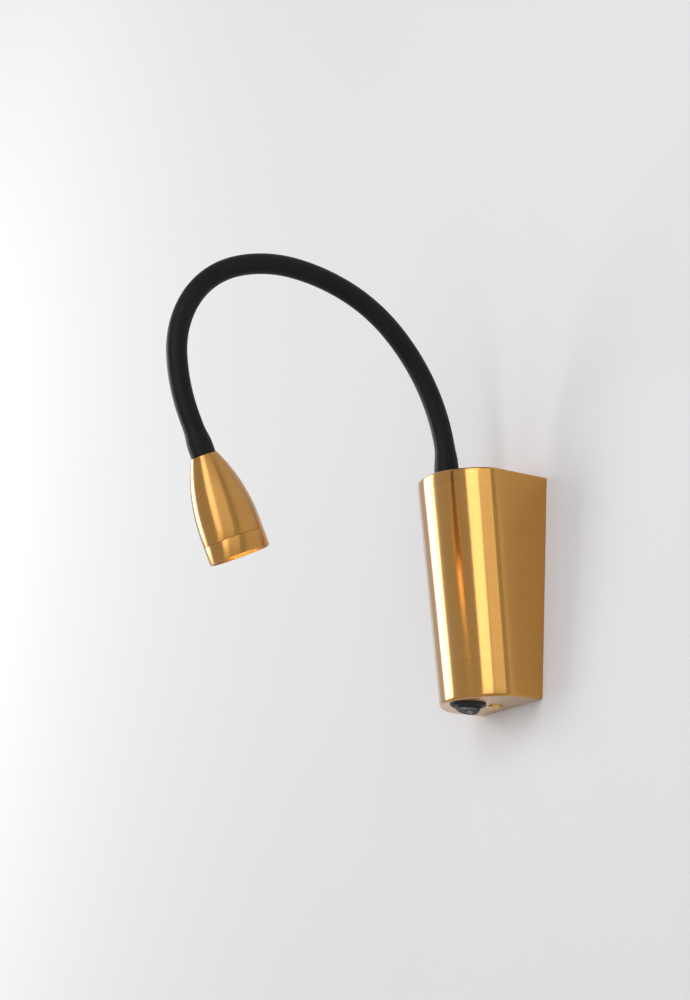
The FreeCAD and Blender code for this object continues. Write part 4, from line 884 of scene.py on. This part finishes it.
def make_rocker():
    """The rocker: a round button with two shallow faces, its pins and its two marks."""
    sizes = chosen("switch")
    radius = sizes.rocker
    start = math.asin(sizes.back / radius)
    outline = [(0, sizes.back)]
    outline += [(radius * math.cos(turn), radius * math.sin(turn))
                for turn in (start - (start + math.radians(80)) * step / 40 for step in range(41))]
    outline.append((0, -radius))
    place = rocker_place()
    rocker = add_object("Switch_Rocker", mesh_from("Switch_Rocker", lathe(outline, place, 128)))
    rise = math.tan(sizes.facet)
    wide = 1.3 * radius
    deep = 2 * radius
    wedge = bmesh.new()
    profile = [(0, -sizes.valley), (-wide, -sizes.valley - rise * wide), (-wide, -deep),
               (wide, -deep), (wide, -sizes.valley - rise * wide)]
    near, far = ([wedge.verts.new(place @ Vector((x, y, z))) for x, z in profile]
                 for y in (-wide, wide))
    wedge.faces.new(near)
    wedge.faces.new(list(reversed(far)))
    for step in range(len(profile)):
        following = (step + 1) % len(profile)
        wedge.faces.new((near[step], far[step], far[following], near[following]))
    carve(rocker, "faces", wedge)
    soften = rocker.modifiers.new("soften", "BEVEL")
    soften.width = 0.3 * MM
    soften.segments = 3
    soften.limit_method = "ANGLE"
    soften.angle_limit = math.radians(35)
    soften.harden_normals = False
    bake_modifiers(rocker)
    sideways = place @ Matrix.Rotation(math.pi / 2, 4, "X")
    carve(rocker, "pins", cylinder(1 * MM, -7.3 * MM, 7.3 * MM, sideways, 32), "UNION")
    black = chosen("finish").black
    dress(rocker, moulded_plastic("Rocker_Plastic", black, 0.36, 0.3), 30)
    hold(rocker, "rocker", "black_plastic", "switch_rocker")
    mark = moulded_plastic("Mark_Paint", chosen("finish").mark, 0.5)
    for side, name in ((1, "Mark_Off"), (-1, "Mark_On")):
        on_face = (place @ Matrix.Translation((0, 0, -sizes.valley))
                   @ Matrix.Rotation(side * sizes.facet, 4, "Y")
                   @ Matrix.Translation((side * sizes.mark_gap, 0, 0)))
        if side > 0:
            shape = lathe([(0.85 * MM, -0.06 * MM), (1.2 * MM, -0.06 * MM),
                           (1.2 * MM, 0.1 * MM), (0.85 * MM, 0.1 * MM)], on_face, 48)
        else:
            shape = bmesh.new()
            bmesh.ops.create_cube(shape, size=1.0, matrix=on_face @ Matrix.Translation(
                (0, 0, 0.02 * MM)) @ Matrix.Diagonal((0.45 * MM, 2.2 * MM, 0.16 * MM, 1)))
        piece = dress(add_object(name, mesh_from(name, shape)), mark)
        hold(piece, "rocker", "black_plastic")


def make_cover_screw():
    """The pan-head screw with a cross recess, head down in the cover's underside."""
    sizes = chosen("switch")
    cover = chosen("cover")
    place = (Matrix.Translation((0, -cover.screw_out, 1 * MM - cover.height / 2))
             @ Matrix.Rotation(math.pi, 4, "X"))
    head, shank, tip, end, bevel = 2.2 * MM, 2 * MM, 1.7 * MM, -9 * MM, -8.7 * MM
    outline = [(0, end), (tip, end), (shank, bevel), (shank, 0),
               (sizes.screw_head, 0), (sizes.screw_head, 1.2 * MM), (3.2 * MM, head), (0, head)]
    outline = rounded(outline, {4: 0.15 * MM, 5: 0.8 * MM, 6: 1.0 * MM}, 8)
    screw = add_object("Cover_Screw", mesh_from("Cover_Screw", lathe(outline, place, 64)))
    for turn in (0.0, math.pi / 2):
        arm = bmesh.new()
        bmesh.ops.create_cone(
            arm, cap_ends=True, segments=4, radius1=0.5 * MM, radius2=0.75 * MM, depth=1.6 * MM,
            matrix=place @ Matrix.Rotation(0.5 + turn, 4, "Z")
            @ Matrix.Translation((0, 0, 1.6 * MM)) @ Matrix.Diagonal((3.9, 1.0, 1.0, 1.0))
            @ Matrix.Rotation(math.pi / 4, 4, "Z"))
        carve(screw, "cross", arm)
    dress(screw, polished_brass(), 30)
    hold(screw, "base", "brass_screw", "cover_screw")


# ---------------------------------------------------------------- packed nodes


def paint_packed_nodes():
    """Better materials for the packed nodes whose shape is right as it is."""
    colours = chosen("finish")
    plated = plain_metal("Zinc_Plated_Steel", colours.steel, 0.34)
    white = moulded_plastic("White_Plastic", colours.white, 0.5)
    finishes = {
        plated: ("wall_bracket", "earth_lug", "earth_screw", "driver_screws", "terminal_screws",
                 "board_screws", "neck_nipple", "neck_washer", "neck_nut", "head_nipple",
                 "switch_terminals"),
        white: ("driver_case", "terminal_block", "lens_holder"),
        moulded_plastic("Board_Resin", (0.86, 0.87, 0.84), 0.35): ("led_board",),
        moulded_plastic("Lead_Insulation", (0.10, 0.10, 0.11), 0.4): (
            "supply_leads", "switch_leads", "output_leads", "head_leads"),
        moulded_plastic("Earth_Insulation", (0.30, 0.55, 0.10), 0.4): ("earth_lead",),
        moulded_plastic("Gasket_Rubber", (0.02, 0.02, 0.02), 0.7): ("lens_gasket",),
        plain_metal("Turned_Aluminium", (0.76, 0.77, 0.78), 0.3): ("heat_sink",),
        clear_lens(): ("lens",),
        lit_face("Emitter_Phosphor", 6.0): ("led_emitter",),
    }
    for material, names in finishes.items():
        for name in names:
            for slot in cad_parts[name].material_slots:
                slot.material = material


# ---------------------------------------------------------------- studio


def aim(place, target):
    """A matrix at a place whose -Z axis points at the target."""
    ahead = Vector(target) - Vector(place)
    return Matrix.Translation(place) @ ahead.to_track_quat("-Z", "Y").to_matrix().to_4x4()


def add_light(name, azimuth, elevation, reach, width, height, strength, tint):
    """A soft box: azimuth is from +X towards the room, strength is its brightness."""
    target = Vector((0, -0.05, 0.02))
    azimuth, elevation = math.radians(azimuth), math.radians(elevation)
    place = target + reach * Vector((math.cos(azimuth) * math.cos(elevation),
                                     -math.sin(azimuth) * math.cos(elevation), math.sin(elevation)))
    lamp = bpy.data.lights.new(name, "AREA")
    lamp.shape = "RECTANGLE"
    lamp.size = width
    lamp.size_y = height
    lamp.energy = strength * math.pi * width * height
    lamp.color = tint
    box = bpy.data.objects.new(name, lamp)
    bpy.context.scene.collection.objects.link(box)
    box.matrix_world = aim(place, target)


def add_camera():
    settings = chosen("studio")
    heading, pitch, roll = settings.heading, settings.pitch, settings.roll
    right = Vector((math.cos(heading), math.sin(heading), 0))
    level = Vector((-math.sin(heading), math.cos(heading), 0))
    rise = Vector((0, 0, 1))
    ahead = level * math.cos(pitch) + rise * math.sin(pitch)
    above = rise * math.cos(pitch) - level * math.sin(pitch)
    side = right * math.cos(roll) + above * math.sin(roll)
    up = above * math.cos(roll) - right * math.sin(roll)
    data = bpy.data.cameras.new("Camera")
    data.sensor_width = 36.0
    data.lens = settings.lens
    camera = bpy.data.objects.new("Camera", data)
    bpy.context.scene.collection.objects.link(camera)
    turned = Matrix((side, up, -ahead)).transposed().to_4x4()
    camera.matrix_world = Matrix.Translation(
        (settings.camera_x, -settings.camera_out, -settings.camera_drop)) @ turned
    bpy.context.scene.camera = camera


def add_backdrop():
    """The wall behind the lamp; the lamp's open back lies over a gap in it."""
    wide, low, high, side, end = 2.6, -1.8, 2.6, 0.028, 0.052
    corners = [(-wide, low), (wide, low), (wide, high), (-wide, high),
               (-side, -end), (side, -end), (side, end), (-side, end)]
    mesh = bpy.data.meshes.new("Wall")
    mesh.from_pydata([(x, 0.0002, z) for x, z in corners], [],
                     [(step, (step + 1) % 4, 4 + (step + 1) % 4, 4 + step) for step in range(4)])
    mesh.materials.append(pale_wall())
    add_object("Wall", mesh)


def light_world():
    """A plain pale room: what the camera, metal and glass see, and a soft fill."""
    world = bpy.data.worlds.new("Room")
    bpy.context.scene.world = world
    world.use_nodes = True
    tree = world.node_tree
    background = tree.nodes["Background"]
    path = tree.nodes.new("ShaderNodeLightPath")
    choose = tree.nodes.new("ShaderNodeMix")
    choose.data_type = "RGBA"
    choose.inputs[6].default_value = ROOM
    choose.inputs[7].default_value = BEYOND
    tree.links.new(path.outputs["Is Camera Ray"], choose.inputs["Factor"])
    tree.links.new(choose.outputs[2], background.inputs["Color"])


# ---------------------------------------------------------------- operators


class LAMP_OT_cover(bpy.types.Operator):
    """Make the brass cover and its screw"""
    bl_idname = "lamp.cover"
    bl_label = "Brass Cover"

    def execute(self, context):
        make_cover()
        make_cover_screw()
        return {"FINISHED"}


class LAMP_OT_gooseneck(bpy.types.Operator):
    """Make the flexible neck in pieces across all its joints"""
    bl_idname = "lamp.gooseneck"
    bl_label = "Gooseneck"

    def execute(self, context):
        make_gooseneck()
        return {"FINISHED"}


class LAMP_OT_head(bpy.types.Operator):
    """Make the spot head's shell and front ring"""
    bl_idname = "lamp.head"
    bl_label = "Spot Head"

    def execute(self, context):
        make_head_shell()
        make_front_ring()
        return {"FINISHED"}


class LAMP_OT_switch(bpy.types.Operator):
    """Make the round rocker switch"""
    bl_idname = "lamp.switch"
    bl_label = "Rocker Switch"

    def execute(self, context):
        make_switch_body()
        make_rocker()
        return {"FINISHED"}


class LAMP_OT_inner_parts(bpy.types.Operator):
    """Give the bracket, driver, terminals and light source their materials"""
    bl_idname = "lamp.inner_parts"
    bl_label = "Inner Parts"

    def execute(self, context):
        paint_packed_nodes()
        return {"FINISHED"}


class LAMP_OT_studio(bpy.types.Operator):
    """Set up the wall, the lights and the camera"""
    bl_idname = "lamp.studio"
    bl_label = "Studio"

    def execute(self, context):
        add_camera()
        add_backdrop()
        light_world()
        for light in LIGHTS:
            add_light(*light)
        context.scene.view_settings.view_transform = "Standard"
        return {"FINISHED"}


OPERATORS = (LAMP_OT_studio, LAMP_OT_cover, LAMP_OT_gooseneck, LAMP_OT_head, LAMP_OT_switch,
             LAMP_OT_inner_parts)


class LAMP_PT_pieces(bpy.types.Panel):
    """The lamp's pieces and their sizes"""
    bl_label = "Reading Lamp"
    bl_idname = "LAMP_PT_pieces"
    bl_space_type = "VIEW_3D"
    bl_region_type = "UI"
    bl_category = "Reading Lamp"

    def draw(self, context):
        for operator in OPERATORS:
            self.layout.operator(operator.bl_idname)
        for name, group in GROUPS.items():
            box = self.layout.box()
            box.label(text=group.__doc__)
            for entry in group.__annotations__:
                box.prop(getattr(context.scene, name), entry)


def register():
    for group in GROUPS.values():
        bpy.utils.register_class(group)
    for operator in OPERATORS:
        bpy.utils.register_class(operator)
    bpy.utils.register_class(LAMP_PT_pieces)
    for name, group in GROUPS.items():
        setattr(bpy.types.Scene, name, bpy.props.PointerProperty(type=group))


def unregister():
    for name in GROUPS:
        delattr(bpy.types.Scene, name)
    bpy.utils.unregister_class(LAMP_PT_pieces)
    for operator in reversed(OPERATORS):
        bpy.utils.unregister_class(operator)
    for group in reversed(list(GROUPS.values())):
        bpy.utils.unregister_class(group)


def main():
    register()
    bpy.ops.lamp.studio()
    bpy.ops.lamp.cover()
    bpy.ops.lamp.gooseneck()
    bpy.ops.lamp.head()
    bpy.ops.lamp.switch()
    bpy.ops.lamp.inner_parts()


if __name__ == "__main__":
    main()
